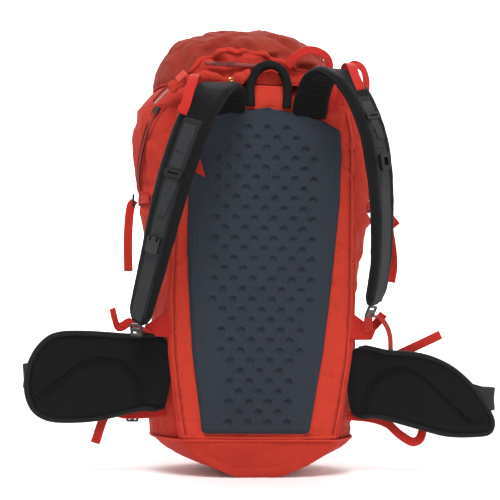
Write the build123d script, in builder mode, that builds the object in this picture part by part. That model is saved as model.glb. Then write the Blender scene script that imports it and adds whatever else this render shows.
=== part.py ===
"""Top-loading hiking backpack: packbag, back panel, lid, shoulder straps and hip belt.

Millimetres, +Z up. The wearer's side faces -Y, and +X is the right-hand side seen from there.
Y is measured from the back panel's face while the pieces are made, and each finished piece is
then moved so that the origin is the middle of the flat foot that the pack stands on.
"""

import os
from math import radians, tan

from build123d import *

os.makedirs("parts", exist_ok=True)

# ---------------------------------------------------------------- driving dimensions
FABRIC = 2.5  # packbag cloth with its lining
FRAME_DEPTH = 15.0  # thickness of the back panel, border and pocket together
WALL = 2.0  # inner wall between the frame pocket and the main compartment
BAG_Y = FRAME_DEPTH + WALL  # where the packbag's panels start
SEAM_Y = 170.0  # seam between the side panels and the front panel
BULGE_Y = 90.0  # depth at which the side panels bulge most
FOOT_BACK = 6.0  # back edge of the flat foot, in Y
FOOT_FRONT = 178.0  # its front edge
FOOT_MIDDLE = (FOOT_BACK + FOOT_FRONT) / 2
WEB = 15.0  # width of the strap webbing
WEB_T = 1.6  # its thickness
GAP = 0.6  # clearance between a strap and the cloth under it
PAD_T = 13.0  # shoulder strap thickness
PAD_W = 56.0  # shoulder strap width
WING_T = 13.0  # hip belt wing thickness
WING_Y = 7.5  # middle plane of the hip belt wings
HIP_X = 157.0  # hip wing hinge, either side
HIP_WEB = 38.0  # width of the hip belt webbing
BUCKLE_T = 7.0  # thickness of the lid strap buckles

# Packbag levels: z, back half-width, bulge half-width, front seam half-width, depth
LEVELS = [
    (60, 128, 170, 138, 212),
    (110, 138, 176, 143, 222),
    (200, 149, 174, 146, 232),
    (290, 153, 174, 148, 237),
    (380, 153, 188, 153, 239),
    (455, 151, 203, 160, 239),
    (530, 149, 210, 164, 236),
    (600, 142, 206, 160, 228),
]
# Base and collar levels add the back edge's Y after the depth
BASE_LEVELS = [
    (0, 52, 60, 50, FOOT_FRONT, FOOT_BACK),
    (26, 94, 126, 102, 198, 2),
    (60, 127, 170, 138, 212, 0),
]
COLLAR_LEVELS = [
    (600, 142, 206, 160, 228, BAG_Y),
    (636, 120, 174, 132, 214, 20),
    (655, 78, 112, 84, 182, 44),
]
# Lid levels: z, left, right, back, front, corner radius
LID_LEVELS = [
    (641, -178, 176, 3, 244, 80),
    (660, -178, 160, 3, 244, 82),
    (685, -174, 128, 6, 240, 88),
    (712, -156, 108, 14, 228, 86),
    (736, -118, 74, 38, 196, 68),
    (748, -64, 20, 78, 152, 34),
]
LID_FLOOR = 659.0


def save(shape, name):
    """Moves one finished piece so the foot's middle is the origin, and writes its STEP file."""
    placed = shape.moved(Location((0, -FOOT_MIDDLE, 0)))
    placed.label = name
    export_step(placed, f"parts/{name}.step")


def between(levels, z):
    """Level at height z, by straight lines between the stated ones."""
    for low, high in zip(levels, levels[1:]):
        if low[0] <= z <= high[0]:
            share = (z - low[0]) / (high[0] - low[0])
            return tuple(a + share * (b - a) for a, b in zip(low, high))
    raise ValueError(f"no level at {z}")


def bag_section(level, grow=0.0, back_grow=None):
    """Closed outline of the packbag at one level: flat back, bowed sides and front."""
    z, back, bulge, front, depth = level[:5]
    back_y = level[5] if len(level) > 5 else BAG_Y
    back_y -= grow if back_grow is None else back_grow
    b, m, f, d = back + grow, bulge + grow, front + grow, depth + grow
    with BuildSketch(Plane.XY.offset(z)) as outline:
        with BuildLine():
            Line((-b, back_y), (b, back_y))
            ThreePointArc((b, back_y), (m, BULGE_Y), (f, SEAM_Y))
            ThreePointArc((f, SEAM_Y), (0, d), (-f, SEAM_Y))
            ThreePointArc((-f, SEAM_Y), (-m, BULGE_Y), (-b, back_y))
        make_face()
    return outline.sketch


def bag_shell(levels, grow_out, grow_in, open_back, floor=0.0):
    """Hollow stack of sections, open at the top, and open at the back if asked."""
    with BuildPart() as shell:
        for level in levels:
            add(bag_section(level, grow_out, 0.0 if open_back else None))
        loft(ruled=True)
        inner = list(levels)
        if floor:
            inner[0] = (floor, *between(levels, floor)[1:])
        for level in inner:
            add(bag_section(level, grow_in, 1.0 if open_back else None))
        loft(ruled=True, mode=Mode.SUBTRACT)
    return shell.part


def keep_box(shape, low, high):
    """The piece of a shape inside a box given by two corners."""
    size = [b - a for a, b in zip(low, high)]
    with BuildPart() as piece:
        add(shape)
        with Locations([tuple(low)]):
            Box(*size, align=Align.MIN, mode=Mode.INTERSECT)
    return piece.part


def ribbon(points, width, thick, across=(1, 0, 0)):
    """Flat strap through points; across is its width's direction, or one for each point."""
    points = [Vector(*p) for p in points]
    many = isinstance(across[0], (tuple, list))
    with BuildPart() as strap:
        for i, point in enumerate(points):
            before, after = points[max(i - 1, 0)], points[min(i + 1, len(points) - 1)]
            along = (after - before).normalized()
            side = Vector(*(across[i] if many else across))
            side = (side - along * side.dot(along)).normalized()
            with BuildSketch(Plane(origin=point, x_dir=side, z_dir=along)):
                Rectangle(width, thick)
        loft(ruled=True)
    return strap.part


def plate(outline, radius, y_low, y_high):
    """Plate in the XZ plane with rounded corners, from y_low to y_high."""
    with BuildPart() as made:
        # Plane.XZ's normal is -Y, so an offset of -y_high puts the sketch at y_high
        with BuildSketch(Plane.XZ.offset(-y_high)):
            with BuildLine():
                FilletPolyline(*outline, radius=radius, close=True)
            make_face()
        extrude(amount=y_high - y_low)
    return made.part


def slab(centre, size, turn=0.0, radius=2.0):
    """Small rounded block, such as a buckle's body, turned about Z."""
    with BuildPart() as block:
        with Locations(Location(centre, (0, 0, turn))):
            Box(*size)
        fillet(block.edges(), radius=min(radius, 0.3 * min(size)))
    return block.part


def ladder_lock(centre, across, down, width=WEB):
    """Three-bar strap adjuster; the webbing runs along down through its two slots."""
    plane = Plane(origin=centre, x_dir=across, z_dir=Vector(*across).cross(Vector(*down)))
    slot = 3.4
    with BuildPart() as lock:
        with BuildSketch(plane.offset(-1.6)):
            RectangleRounded(width + 8, 20, 3)
            with GridLocations(0, 9, 1, 2):
                Rectangle(width + 1.2, slot, mode=Mode.SUBTRACT)
        extrude(amount=3.2)
    return lock.part


# ---------------------------------------------------------------- back panel
BORDER = [(-120, 62), (-128, 66), (-149, 200), (-153, 290), (-151, 455), (-149, 560),
          (-141, 600), (-70, 611), (70, 611), (141, 600), (149, 560), (151, 455),
          (153, 290), (149, 200), (128, 66), (120, 62)]
PAD = [(-88, 73), (-112, 205), (-121, 320), (-124, 450), (-124, 560), (-60, 590), (0, 598),
       (60, 590), (124, 562), (124, 450), (112, 320), (100, 205), (76, 73)]
SHEET_T = 1.6  # thickness of the frame sheet


def back_border():
    """Red border tray: its pocket holds the frame sheet and the stays."""
    tray = plate(BORDER, 5, 0, FRAME_DEPTH)
    with BuildPart() as border:
        add(tray)
        with BuildSketch(Plane.XZ.offset(-FRAME_DEPTH)):
            with BuildLine():
                FilletPolyline(*[(x * 0.9, 90 + (z - 62) * 0.93) for x, z in BORDER], radius=4,
                               close=True)
            make_face()
        extrude(amount=5.5, mode=Mode.SUBTRACT)
    return border.part


def frame_sheet():
    """Thin plastic sheet that stiffens the back."""
    outline = [(-105, 96), (-128, 210), (-130, 560), (130, 560), (128, 210), (105, 96)]
    return plate(outline, 20, 9.7, 9.7 + SHEET_T)


def frame_stays():
    """Two flat aluminium bars in a shallow V behind the sheet."""
    with BuildPart() as stays:
        for side in (-1, 1):
            with BuildSketch(Plane.XZ.offset(-(FRAME_DEPTH - 0.3))):
                with BuildLine():
                    Polyline((side * 45, 110), (side * 57, 110), (side * 87, 575),
                             (side * 75, 575), close=True)
                make_face()
        extrude(amount=3.0)
    return stays.part


def inner_wall():
    """Cloth wall between the frame pocket and the main compartment."""
    outline = [(-127, 60.5), (-147, 200), (-151, 290), (-149, 455), (-147, 560), (-140, 599),
               (140, 599), (147, 560), (149, 455), (151, 290), (147, 200), (127, 60.5)]
    return plate(outline, 3, FRAME_DEPTH, FRAME_DEPTH + WALL)


def back_pad():
    """Dimpled foam pad against the wearer's back, with its field of dimples."""
    pad = plate(PAD, [12, 60, 60, 30, 8, 60, 100, 60, 8, 30, 60, 60, 12], -8, 0)
    pitch_x, pitch_z, rows = 32.0, 16.4, 30
    counts = [4, 3, 4, 3, 4, 3, 4, 5, 4, 5, 4, 5, 6, 5, 6, 5, 6, 5, 6, 5, 6, 5, 6, 5, 6, 5, 6, 5,
              4, 3]
    spots = []
    for row in range(rows):
        z = 88 + row * pitch_z
        middle = -6 + 6 * row / rows
        for k in range(counts[row]):
            spots.append((middle + (k - (counts[row] - 1) / 2) * pitch_x, z))
    with BuildPart() as made:
        add(pad)
        with BuildSketch(Plane.XZ.offset(8)):
            with Locations(*spots):
                Circle(6.0)
        extrude(amount=-2.2, mode=Mode.SUBTRACT)
    return made.part


save(back_border(), "back_border")
save(back_pad(), "back_pad")
save(frame_sheet(), "frame_sheet")
save(frame_stays(), "frame_stays")
save(inner_wall(), "inner_wall")

# ---------------------------------------------------------------- packbag
panels = bag_shell(LEVELS, 0.0, -FABRIC, open_back=True)
FAR = 400  # beyond every piece, for cutting boxes
save(keep_box(panels, (-FAR, BAG_Y, 0), (0, SEAM_Y, FAR * 2)), "side_panel_left")
save(keep_box(panels, (0, BAG_Y, 0), (FAR, SEAM_Y, FAR * 2)), "side_panel_right")
save(keep_box(panels, (-FAR, SEAM_Y, 0), (FAR, FAR, FAR * 2)), "front_panel")
save(bag_shell(BASE_LEVELS, 0.0, -FABRIC, open_back=False, floor=FABRIC), "base_panel")
save(bag_shell(COLLAR_LEVELS, 0.0, -FABRIC, open_back=False), "collar")
save(plate([(-105, 110), (-105, 480), (105, 480), (105, 110)], 8, BAG_Y + 1, BAG_Y + 2.5),
     "hydration_sleeve")


def drawcord_ring():
    """Closed drawcord round the collar's mouth."""
    level = (655 + 2.2, *COLLAR_LEVELS[-1][1:])
    with BuildPart() as ring:
        add(bag_section((level[0] - 1.6, *level[1:]), -0.2))
        add(bag_section((level[0] + 1.4, *level[1:]), -0.2))
        loft(ruled=True)
        add(bag_section((level[0] - 1.6, *level[1:]), -3.2))
        add(bag_section((level[0] + 1.4, *level[1:]), -3.2))
        loft(ruled=True, mode=Mode.SUBTRACT)
    return ring.part


save(drawcord_ring(), "collar_drawcord")


# ---------------------------------------------------------------- straps round the bag
def side_band(side, z, y_low, y_high):
    """Compression strap that follows a side panel at height z."""
    levels = [(h, *between(LEVELS, h)[1:]) for h in (z - WEB / 2, z + WEB / 2)]
    band = bag_shell(levels, GAP + WEB_T, GAP, open_back=True)
    low, high = sorted((side * 100, side * FAR))
    return keep_box(band, (low, y_low, 0), (high, y_high, FAR * 2))


def joined(*shapes):
    """Pieces of one kind that share a node."""
    with BuildPart() as group:
        for shape in shapes:
            add(shape)
    return group.part


UPPER_Z, LOWER_Z = 449.0, 246.0
bands = [side_band(side, z, 44, SEAM_Y - 1) for side in (-1, 1) for z in (UPPER_Z, LOWER_Z)]
save(joined(*bands), "side_straps")


def bulge_x(z, y, out):
    """Half-width of the bag at (z, y) plus out, on the arc through its three side points."""
    _, b, m, f, _ = between(LEVELS, z)
    (x0, y0), (x1, y1), (x2, y2) = (b, BAG_Y), (m, BULGE_Y), (f, SEAM_Y)
    turn = 2 * ((x1 - x0) * (y2 - y0) - (x2 - x0) * (y1 - y0))
    run1 = (x1 - x0) ** 2 + (y1 - y0) ** 2
    run2 = (x2 - x0) ** 2 + (y2 - y0) ** 2
    centre_x = x0 + ((y2 - y0) * run1 - (y1 - y0) * run2) / turn
    centre_y = y0 + ((x1 - x0) * run2 - (x2 - x0) * run1) / turn
    radius = ((x0 - centre_x) ** 2 + (y0 - centre_y) ** 2) ** 0.5
    return centre_x + (radius ** 2 - (y - centre_y) ** 2) ** 0.5 + out


BUCKLE_OUT = 6.5  # how far an adjuster's middle stands off the cloth


def web_locks():
    """Adjusters of the four side straps and, behind the wings, of the two base straps."""
    with BuildPart() as locks:
        for side in (-1, 1):
            for z in (UPPER_Z, LOWER_Z):
                x = side * bulge_x(z, BULGE_Y + 12, BUCKLE_OUT)
                add(ladder_lock((x, BULGE_Y + 12, z), (0, 0, 1), (0, 1, 0)))
            add(ladder_lock((side * 204, 27.5, 98), (0, 0, 1), (side, 0, 0)))
    return locks.part


save(web_locks(), "web_locks")
TAIL_OUT = 10.5  # how far the upper straps' tails hang off the cloth
left_x = -bulge_x(UPPER_Z, BULGE_Y, TAIL_OUT)
right_x = -left_x
UPPER_TAILS = [
    ([(left_x, 96, 438), (left_x - 5, 95, 418), (left_x - 5, 94, 380), (left_x - 3, 93, 330)],
     (0.96, -0.28, 0)),
    ([(right_x, 100, 462), (right_x + 7, 96, 470), (right_x + 14, 90, 462),
      (right_x + 13, 84, 440), (right_x + 9, 80, 405), (right_x + 14, 78, 372),
      (right_x + 15, 77, 345), (right_x + 10, 76, 322)], (0.8, -0.6, 0)),
]
save(joined(*[ribbon(run, WEB, WEB_T, side) for run, side in UPPER_TAILS]), "upper_tails")


# ---------------------------------------------------------------- lower anchors and base straps
def anchor_tab(side):
    """Sewn triangle that takes the shoulder strap's lower webbing."""
    outline = [(side * 153, 264), (side * 153, 224), (side * 186, 226), (side * 190, 241)]
    return plate(outline, 3, 3, 6)


LOWER_WEB = {
    "left": [(-188, 0.5, 236), (-194, -10, 243), (-199, -24, 247)],
    "right": [(176, 0.5, 240), (171, -18, 257), (168, -32, 268)],
}
BASE_WEB = {
    "left": [(-152, 22, 103), (-184, 23, 100), (-214, 23, 99), (-240, 22, 101), (-253, 20, 86),
             (-262, 18, 54)],
    "right": [(152, 22, 99), (190, 23, 96), (215, 23, 90), (238, 22, 70), (262, 20, 56),
              (272, 19, 60), (279, 19, 84)],
}
save(joined(anchor_tab(-1), anchor_tab(1)), "anchor_tabs")
save(joined(*[ribbon(BASE_WEB[name], WEB, WEB_T, (0, 0.15, 1)) for name in BASE_WEB]),
     "base_straps")
for side, name in ((-1, "left"), (1, "right")):
    save(ribbon(LOWER_WEB[name], WEB, WEB_T, (1, 0, 0.35 * side)), f"lower_web_{name}")
LOWER_TAILS = [
    ([(-178, 36, 232), (-196, 36, 240), (-212, 34, 250), (-222, 30, 238), (-232, 26, 236),
      (-238, 22, 252), (-241, 20, 268)], (0.3, 0.5, 1)),
    ([(188, 34, 262), (203, 30, 264), (216, 27, 252), (222, 26, 232), (223, 26, 206)],
     (0.7, 0.7, 0.1)),
    ([(226, 26, 194), (262, 24, 214), (306, 22, 234)], (-0.35, 0, 1)),
]
save(joined(*[ribbon(run, WEB, WEB_T, side) for run, side in LOWER_TAILS]), "lower_tails")


# ---------------------------------------------------------------- front of the packbag
def front_y(z, out):
    return between(LEVELS, z)[4] + out


DAISY_Z = (92, 110, 200, 290, 380, 430)
save(ribbon([(0, front_y(z, GAP + WEB_T / 2), z) for z in DAISY_Z], WEB, WEB_T), "daisy_chain")
LID_STRAP_X = 82.0  # the lid straps and their lower halves, either side


def front_arc_y(x, z, out):
    """Y of the front panel at (x, z): the arc through the two seams and the middle."""
    _, _, _, f, d = between(LEVELS, z)
    sag = d - SEAM_Y
    r = (f * f + sag * sag) / (2 * sag)
    return d - r + (r * r - x * x) ** 0.5 + out


def axe_loops():
    """Two ice-axe loops that hang flat against the front's foot."""
    with BuildPart() as loops:
        for side in (-1, 1):
            with Locations((side * 48, front_arc_y(24, 96, 5.4), 96)):
                Torus(22, 2.4, rotation=(90, 0, -side * 12))
    return loops.part


save(axe_loops(), "axe_loops")


def lid_catches():
    """Female halves of the lid's buckles, on the front panel."""
    with BuildPart() as catches:
        for side in (-1, 1):
            x = side * LID_STRAP_X
            y = front_arc_y(LID_STRAP_X, 470, 9)
            add(slab((x, y, 470), (24, BUCKLE_T, 30), turn=-side * 22))
    return catches.part


save(lid_catches(), "lid_buckle_catches")
front_runs = []
for side in (-1, 1):
    zs = (110, 200, 290, 380, 450)
    points = [(side * LID_STRAP_X, front_arc_y(LID_STRAP_X, z, 2.8), z) for z in zs]
    front_runs.append(ribbon(points, WEB, WEB_T, (1, -side * 0.4, 0)))
save(joined(*front_runs), "front_straps")


# ---------------------------------------------------------------- lid
def lid_section(level, grow=0.0):
    z, left, right, back, front, radius = level
    with BuildSketch(Plane.XY.offset(z)) as outline:
        with Locations(((left + right) / 2, (back + front) / 2)):
            RectangleRounded(right - left + 2 * grow, front - back + 2 * grow, radius + grow)
    return outline.sketch


def lid_shell():
    """Domed top of the lid with its skirt, open below."""
    with BuildPart() as shell:
        for level in LID_LEVELS:
            add(lid_section(level))
        loft(ruled=True)
        inner = [*LID_LEVELS[:-1], (748 - FABRIC, *LID_LEVELS[-1][1:])]
        for level in inner:
            add(lid_section(level, -FABRIC))
        loft(ruled=True, mode=Mode.SUBTRACT)
    return shell.part


def lid_floor():
    """Underside of the lid's pocket."""
    with BuildPart() as floor:
        add(lid_section((LID_FLOOR, *between(LID_LEVELS, LID_FLOOR)[1:]), -FABRIC - 2.2))
        extrude(amount=1.6)
    return floor.part


save(lid_shell(), "lid_shell")
save(lid_floor(), "lid_floor")
ZIP_Y = -0.4  # outer face of the lid's zip
save(plate([(-104, 662), (-104, 674), (14, 674), (14, 662)], 2, ZIP_Y, 2.2), "lid_zip")
lid_pull = ribbon([(-65.5, -3.2, 668), (-76, -4.4, 667), (-88, -4.8, 666)], 6, 2.6, (0, 0, 1))
save(joined(slab((-60, -3.1, 668), (9, 4.2, 8), radius=1), lid_pull), "lid_zip_slider")
lid_runs = []
for side in (-1, 1):
    x = side * LID_STRAP_X - 5
    web = [(x, 236, 714), (x, 245.6, 688), (x, 248, 660), (x, 249, 620), (x, 250, 560),
           (x, 250, 530)]
    lid_runs.append(ribbon(web, WEB, WEB_T))
save(joined(*lid_runs), "lid_straps")


def lid_tongues():
    """Male halves of the lid's buckles, at the ends of the lid straps."""
    with BuildPart() as tongues:
        for side in (-1, 1):
            x = side * LID_STRAP_X - 5
            add(slab((x, 250, 520), (24, BUCKLE_T, 18)))
            with Locations((x - 8, 250, 503), (x, 250, 503), (x + 8, 250, 503)):
                Box(3, 3, 18)
    return tongues.part


save(lid_tongues(), "lid_buckle_tongues")

# Rear lid webbing, sewn to the frame's top edge and run up to the lid
lid_anchors = [ribbon([(x, -1.6, 599), (x, -1.6, 622), (x * 0.96, -1.2, 640)], WEB, WEB_T)
               for x in (-108, 108)]
save(joined(*lid_anchors), "lid_anchors")


# ---------------------------------------------------------------- haul loop
def haul_loop():
    """Padded grab loop standing on the top of the frame, with flat feet."""
    path = [(-28, 602), (-29, 612), (-20, 650), (-10, 667), (14, 667), (24, 650), (32, 612),
            (31, 602)]
    with BuildPart() as loop:
        with BuildLine(Plane.XZ.offset(7.5)) as wire:
            FilletPolyline(*path, radius=[12, 40, 12, 12, 40, 12])
        with BuildSketch(Plane(origin=wire.wire() @ 0, z_dir=wire.wire() % 0, x_dir=(1, 0, 0))):
            Ellipse(7.5, 6)
        sweep(transition=Transition.ROUND)
    return loop.part


save(haul_loop(), "haul_loop")

# ---------------------------------------------------------------- shoulder straps
SHOULDER = {
    "left": [(-65, -9.5, 598), (-68, -23, 613), (-77, -44, 621), (-93, -70, 615), (-111, -91, 592),
             (-131, -104, 550), (-148, -108, 500), (-162, -106, 450), (-174, -98, 395),
             (-185, -84, 340), (-195, -66, 290), (-203, -47, 248)],
    "right": [(69, -9.5, 598), (71, -23, 620), (78, -42, 644), (92, -66, 650), (112, -90, 632),
              (132, -105, 595), (150, -111, 545), (161, -109, 490), (167, -104, 430),
              (170, -95, 370), (170, -79, 320), (167, -60, 284)],
}
# Lean of each strap's width away from the wearer: at the yoke, the chest and the lower end
LEAN = {"left": (0.0, -0.35, -0.95), "right": (0.0, 0.55, 0.85)}
YOKE_STEPS = 4  # points over which the strap turns from the yoke to its hanging part


def strap_across(name, count):
    """Width directions along a shoulder strap: straight at the yoke, then turned outwards."""
    yoke, chest, foot = LEAN[name]
    leans = []
    for i in range(count):
        upper, lower = min(1, i / YOKE_STEPS), max(0, (i - YOKE_STEPS) / (count - 1 - YOKE_STEPS))
        leans.append(yoke + (chest - yoke) * upper + (foot - chest) * lower)
    return [(1, lean, 0) for lean in leans]


def shifted(name, first, last, out):
    """Shoulder strap points moved off its middle towards the outer face."""
    points = [Vector(*p) for p in SHOULDER[name]]
    sides = strap_across(name, len(points))
    made = []
    for i in range(first, last):
        along = (points[min(i + 1, len(points) - 1)] - points[max(i - 1, 0)]).normalized()
        face = along.cross(Vector(*sides[i])).normalized()
        if face.Y > 0:
            face = face * -1
        made.append(tuple(points[i] + face * out))
    return made, sides[first:last]


for side, name in ((-1, "left"), (1, "right")):
    points = SHOULDER[name]
    across = strap_across(name, len(points))
    save(ribbon(points, PAD_W, PAD_T, across), f"shoulder_pad_{name}")
    web, sides = shifted(name, 4, 12, PAD_T / 2 + 1.5)
    save(ribbon(web, 22, 1.8, sides), f"shoulder_web_{name}")
    end, ends = Vector(*points[-1]), across[-1]
    down = (end - Vector(*points[-2])).normalized()
    save(ladder_lock(tuple(end + down * 13.5), ends, tuple(down)), f"shoulder_lock_{name}")

def arch(points, middle, lean):
    """Standing loop of webbing: its width points away from middle and leans towards the back."""
    sides = [(p[0] - middle[0], lean * 20, p[2] - middle[2]) for p in points]
    return ribbon(points, WEB, WEB_T, sides)


save(arch([(128, -12, 652), (130, -15, 666), (141, -17, 675), (154, -16, 670), (161, -12, 654),
           (162, -8, 634)], (142, 0, 650), 0.5), "lifter_tail")
save(arch([(36, -3, 678), (48, -8, 690), (68, -10, 696), (88, -8, 692), (99, -5, 680),
           (102, -1, 662)], (70, 0, 664), 0.5), "lid_rear_tail")


# ---------------------------------------------------------------- sternum strap halves
STRAP_FACE = PAD_T / 2 + 4.2  # clear of the shoulder strap's webbing


def strap_plane(name, index, share, out):
    """Plane on a shoulder strap's outer face: X across the strap, Y down it, Z outwards."""
    points = [Vector(*p) for p in SHOULDER[name]]
    across = strap_across(name, len(points))[index]
    along = (points[index + 1] - points[index]).normalized()
    side = Vector(*across)
    side = (side - along * side.dot(along)).normalized()
    face = side.cross(along)
    if face.Y > 0:
        side, face = side * -1, face * -1
    middle = points[index] + (points[index + 1] - points[index]) * share
    return Plane(origin=middle + face * out, x_dir=side, z_dir=face)


# Load lifters: shares of strap segment 4 that they lie along, shift across it and height over
# it, then the way to the packbag
LIFTER = {
    "left": ((0.75, 0.20), 19.5, 2.6, [(-127, -70, 633), (-120, -32, 630), (-118, -12, 613)]),
    "right": ((0.30, 0.02), 0, 3.8, [(118, -84, 661), (118, -50, 663), (120, -26, 642),
                                        (120, -12, 616)]),
}
for name, (shares, shift, lift, rest) in LIFTER.items():
    points = [strap_plane(name, 4, share, PAD_T / 2 + lift).from_local_coords((shift, 0))
              for share in shares]
    sides = [strap_across(name, 12)[4]] * 2 + [(1, 0, 0)] * len(rest)
    save(ribbon([tuple(p) for p in points] + rest, WEB, WEB_T, sides), f"load_lifter_{name}")

# side, strap, segment and share of it for the clip, the web and the buckle half
STERNUM = {
    "left": ((6, 0.55), (7, 0.45), (8, 0.50), "tongue"),
    "right": ((5, 0.45), (5, 0.98), (6, 0.75), "catch"),
}
for name, (clip_at, web_at, half_at, end) in STERNUM.items():
    with BuildPart() as clip:
        with BuildSketch(strap_plane(name, *clip_at, STRAP_FACE)):
            RectangleRounded(30, 12, 3)
            Rectangle(17, 3, mode=Mode.SUBTRACT)
        extrude(amount=3)
    save(clip.part, f"sternum_clip_{name}")
    with BuildPart() as web:
        with BuildSketch(strap_plane(name, *web_at, STRAP_FACE + 1)):
            Rectangle(WEB, 30 if name == "left" else 20)
        extrude(amount=WEB_T)
    save(web.part, f"sternum_web_{name}")
    with BuildPart() as half:
        with BuildSketch(strap_plane(name, *half_at, STRAP_FACE + 0.3)):
            RectangleRounded(22, 26, 4)
            if end == "catch":
                Rectangle(10, 12, mode=Mode.SUBTRACT)
            else:
                with Locations((-6, -9), (6, -9)):
                    SlotOverall(7, 3, rotation=90, mode=Mode.SUBTRACT)
        extrude(amount=5.5)
    save(half.part, f"sternum_{end}")


# ---------------------------------------------------------------- hip belt
WING = {
    "left": [(-HIP_X, 219), (-300, 228), (-346, 216), (-371, 165), (-366, 112), (-333, 91),
             (-256, 95), (-190, 110), (-HIP_X, 113)],
    "right": [(HIP_X, 207), (256, 201), (312, 184), (356, 152), (386, 112), (395, 84), (378, 71),
              (318, 71), (264, 84), (200, 100), (HIP_X, 104)],
}
TIP_X = {"left": 371, "right": 396}  # where the belt webbing leaves each wing
WING_RADII = {"left": [0, 60, 34, 40, 34, 34, 60, 60, 0],
              "right": [0, 80, 60, 60, 26, 10, 12, 34, 60, 60, 0]}


def wing(side, name):
    """Padded hip wing with a round root on its hinge line."""
    with BuildPart() as made:
        add(plate(WING[name], WING_RADII[name], WING_Y - WING_T / 2, WING_Y + WING_T / 2))
        low, high = WING[name][-1][1], WING[name][0][1]
        with Locations((side * HIP_X, WING_Y, (low + high) / 2)):
            Cylinder(WING_T / 2, high - low)
    return made.part


for side, name in ((-1, "left"), (1, "right")):
    save(wing(side, name), f"hip_wing_{name}")
    tip_z = 158 if side < 0 else 128
    tip_x = TIP_X[name]
    y = WING_Y + WING_T / 2 + 1.6
    web = [(side * 205, y, 152), (side * 300, y, 150), (side * tip_x, y, tip_z),
           (side * (tip_x + 7), y + 4.5, tip_z + 1), (side * (tip_x - 2), y + 8, tip_z + 2),
           (side * (tip_x - 42), y + 9, tip_z + 2)]
    save(ribbon(web, HIP_WEB, WEB_T, (0, 0, 1)), f"hip_web_{name}")


def hip_buckle(side, tip_x, z, tongue):
    """Half of the hip belt's side-release buckle, hanging behind the wing's tip."""
    y = WING_Y + WING_T / 2 + 14.6
    with BuildPart() as half:
        with Locations((side * (tip_x - 62), y, z)):
            Box(34, 9, 46)
        fillet(half.edges(), radius=2.5)
        if tongue:
            with Locations(*[(side * (tip_x - 90), y, z + dz) for dz in (-17, 0, 17)]):
                Box(24, 4, 6)
        else:
            with Locations((side * (tip_x - 70), y, z)):
                Box(20, 5, 34, mode=Mode.SUBTRACT)
    return half.part


save(hip_buckle(-1, TIP_X["left"], 160, True), "hip_buckle_tongue")
save(hip_buckle(1, TIP_X["right"], 130, False), "hip_buckle_catch")

# ---------------------------------------------------------------- side zip and its pull
ZIP_WIDE = 10.0
# Line of the side zip on the left side panel: y, z from its top end down
SIDE_ZIP = [(30, 598), (42, 560), (57, 510), (71, 462)]


def side_zip():
    """Zip tape down the left side panel, curving towards the front as it falls."""
    band = bag_shell(LEVELS, 1.8, 0.3, open_back=True)
    edge = [(y - ZIP_WIDE / 2, z) for y, z in SIDE_ZIP]
    edge += [(y + ZIP_WIDE / 2, z) for y, z in reversed(SIDE_ZIP)]
    with BuildPart() as tape:
        with BuildSketch(Plane.YZ.offset(-100)):
            with BuildLine():
                Polyline(*edge, close=True)
            make_face()
        extrude(amount=-150)
        add(band, mode=Mode.INTERSECT)
    return tape.part


save(side_zip(), "side_zip")
ZIP_START, ZIP_END = 0.16, 0.95  # shares of the first straight run that the slider covers
SLIDER_OUT = 2.8


def zip_point(share):
    """Point on the cloth, a share of the way along the zip's first run."""
    (y0, z0), (y1, z1) = SIDE_ZIP[:2]
    y, z = y0 + share * (y1 - y0), z0 + share * (z1 - z0)
    return Vector(-bulge_x(z, y, 0), y, z)


run_dir = (zip_point(ZIP_END) - zip_point(ZIP_START)).normalized()
at = zip_point(ZIP_START)
level_dir = Vector(bulge_x(at.Z, at.Y - 6, 0) - bulge_x(at.Z, at.Y + 6, 0), 12, 0)
out_dir = run_dir.cross(level_dir).normalized()
if out_dir.X > 0:
    out_dir = out_dir * -1
slider_at = at + out_dir * SLIDER_OUT
with BuildPart() as slider:
    with BuildSketch(Plane(origin=slider_at, x_dir=run_dir, z_dir=out_dir)):
        RectangleRounded(13, 8, 2)
    extrude(amount=4.5)
save(slider.part, "side_zip_slider")
print("side zip: slider at", [round(v, 1) for v in slider_at], "runs along",
      [round(v, 4) for v in run_dir])

CORD_D = 3.0
CORD = {
    "a": [(-181, 24, 603), (-173, 14, 611), (-162, 1, 622), (-148, -9, 634)],
    "b": [(-184, 27, 606), (-177, 14, 615), (-165, 1, 626), (-151, -9, 638)],
}


def corner_radii(points):
    """Largest tangent arcs: 0.45 of the shorter run over the tangent of half the turn."""
    points = [Vector(*p) for p in points]
    radii = []
    for before, at, after in zip(points, points[1:], points[2:]):
        turn = (at - before).get_angle(after - at)
        radii.append(0.45 * min((at - before).length, (after - at).length) / tan(radians(turn / 2)))
    return radii


for name, points in CORD.items():
    radii = corner_radii(points)
    with BuildPart() as strand:
        with BuildLine() as route:
            FilletPolyline(*points, radius=radii)
        with BuildSketch(Plane(origin=route.wire() @ 0, z_dir=route.wire() % 0)):
            Circle(CORD_D / 2)
        sweep()
    length = route.wire().length
    print("cord", name, "radii", [round(r, 1) for r in radii], "length", round(length, 1),
          "volume over section times length",
          round(strand.part.volume / (3.14159265 * CORD_D ** 2 / 4 * length), 4))
    save(strand.part, f"zip_cord_{name}")

grip_dir = Vector(19, -20, 17).normalized()
with BuildPart() as grip:
    with BuildSketch(Plane(origin=Vector(-149, -9.5, 636) + grip_dir * 1.2,
                           x_dir=Vector(-3, 0, 4), z_dir=grip_dir)):
        RectangleRounded(10, 6.5, 2)
    extrude(amount=18)
save(grip.part, "zip_grip")
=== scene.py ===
"""Looks of the hiking backpack, built around its CAD frame.

The tables are in millimetres, measured like the CAD's: X from the middle, Y from the back panel's
face, Z from the floor. P() turns them into metres in the row frame.
"""

import math

import bpy
import numpy as np
from mathutils import Matrix, Vector, noise


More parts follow.
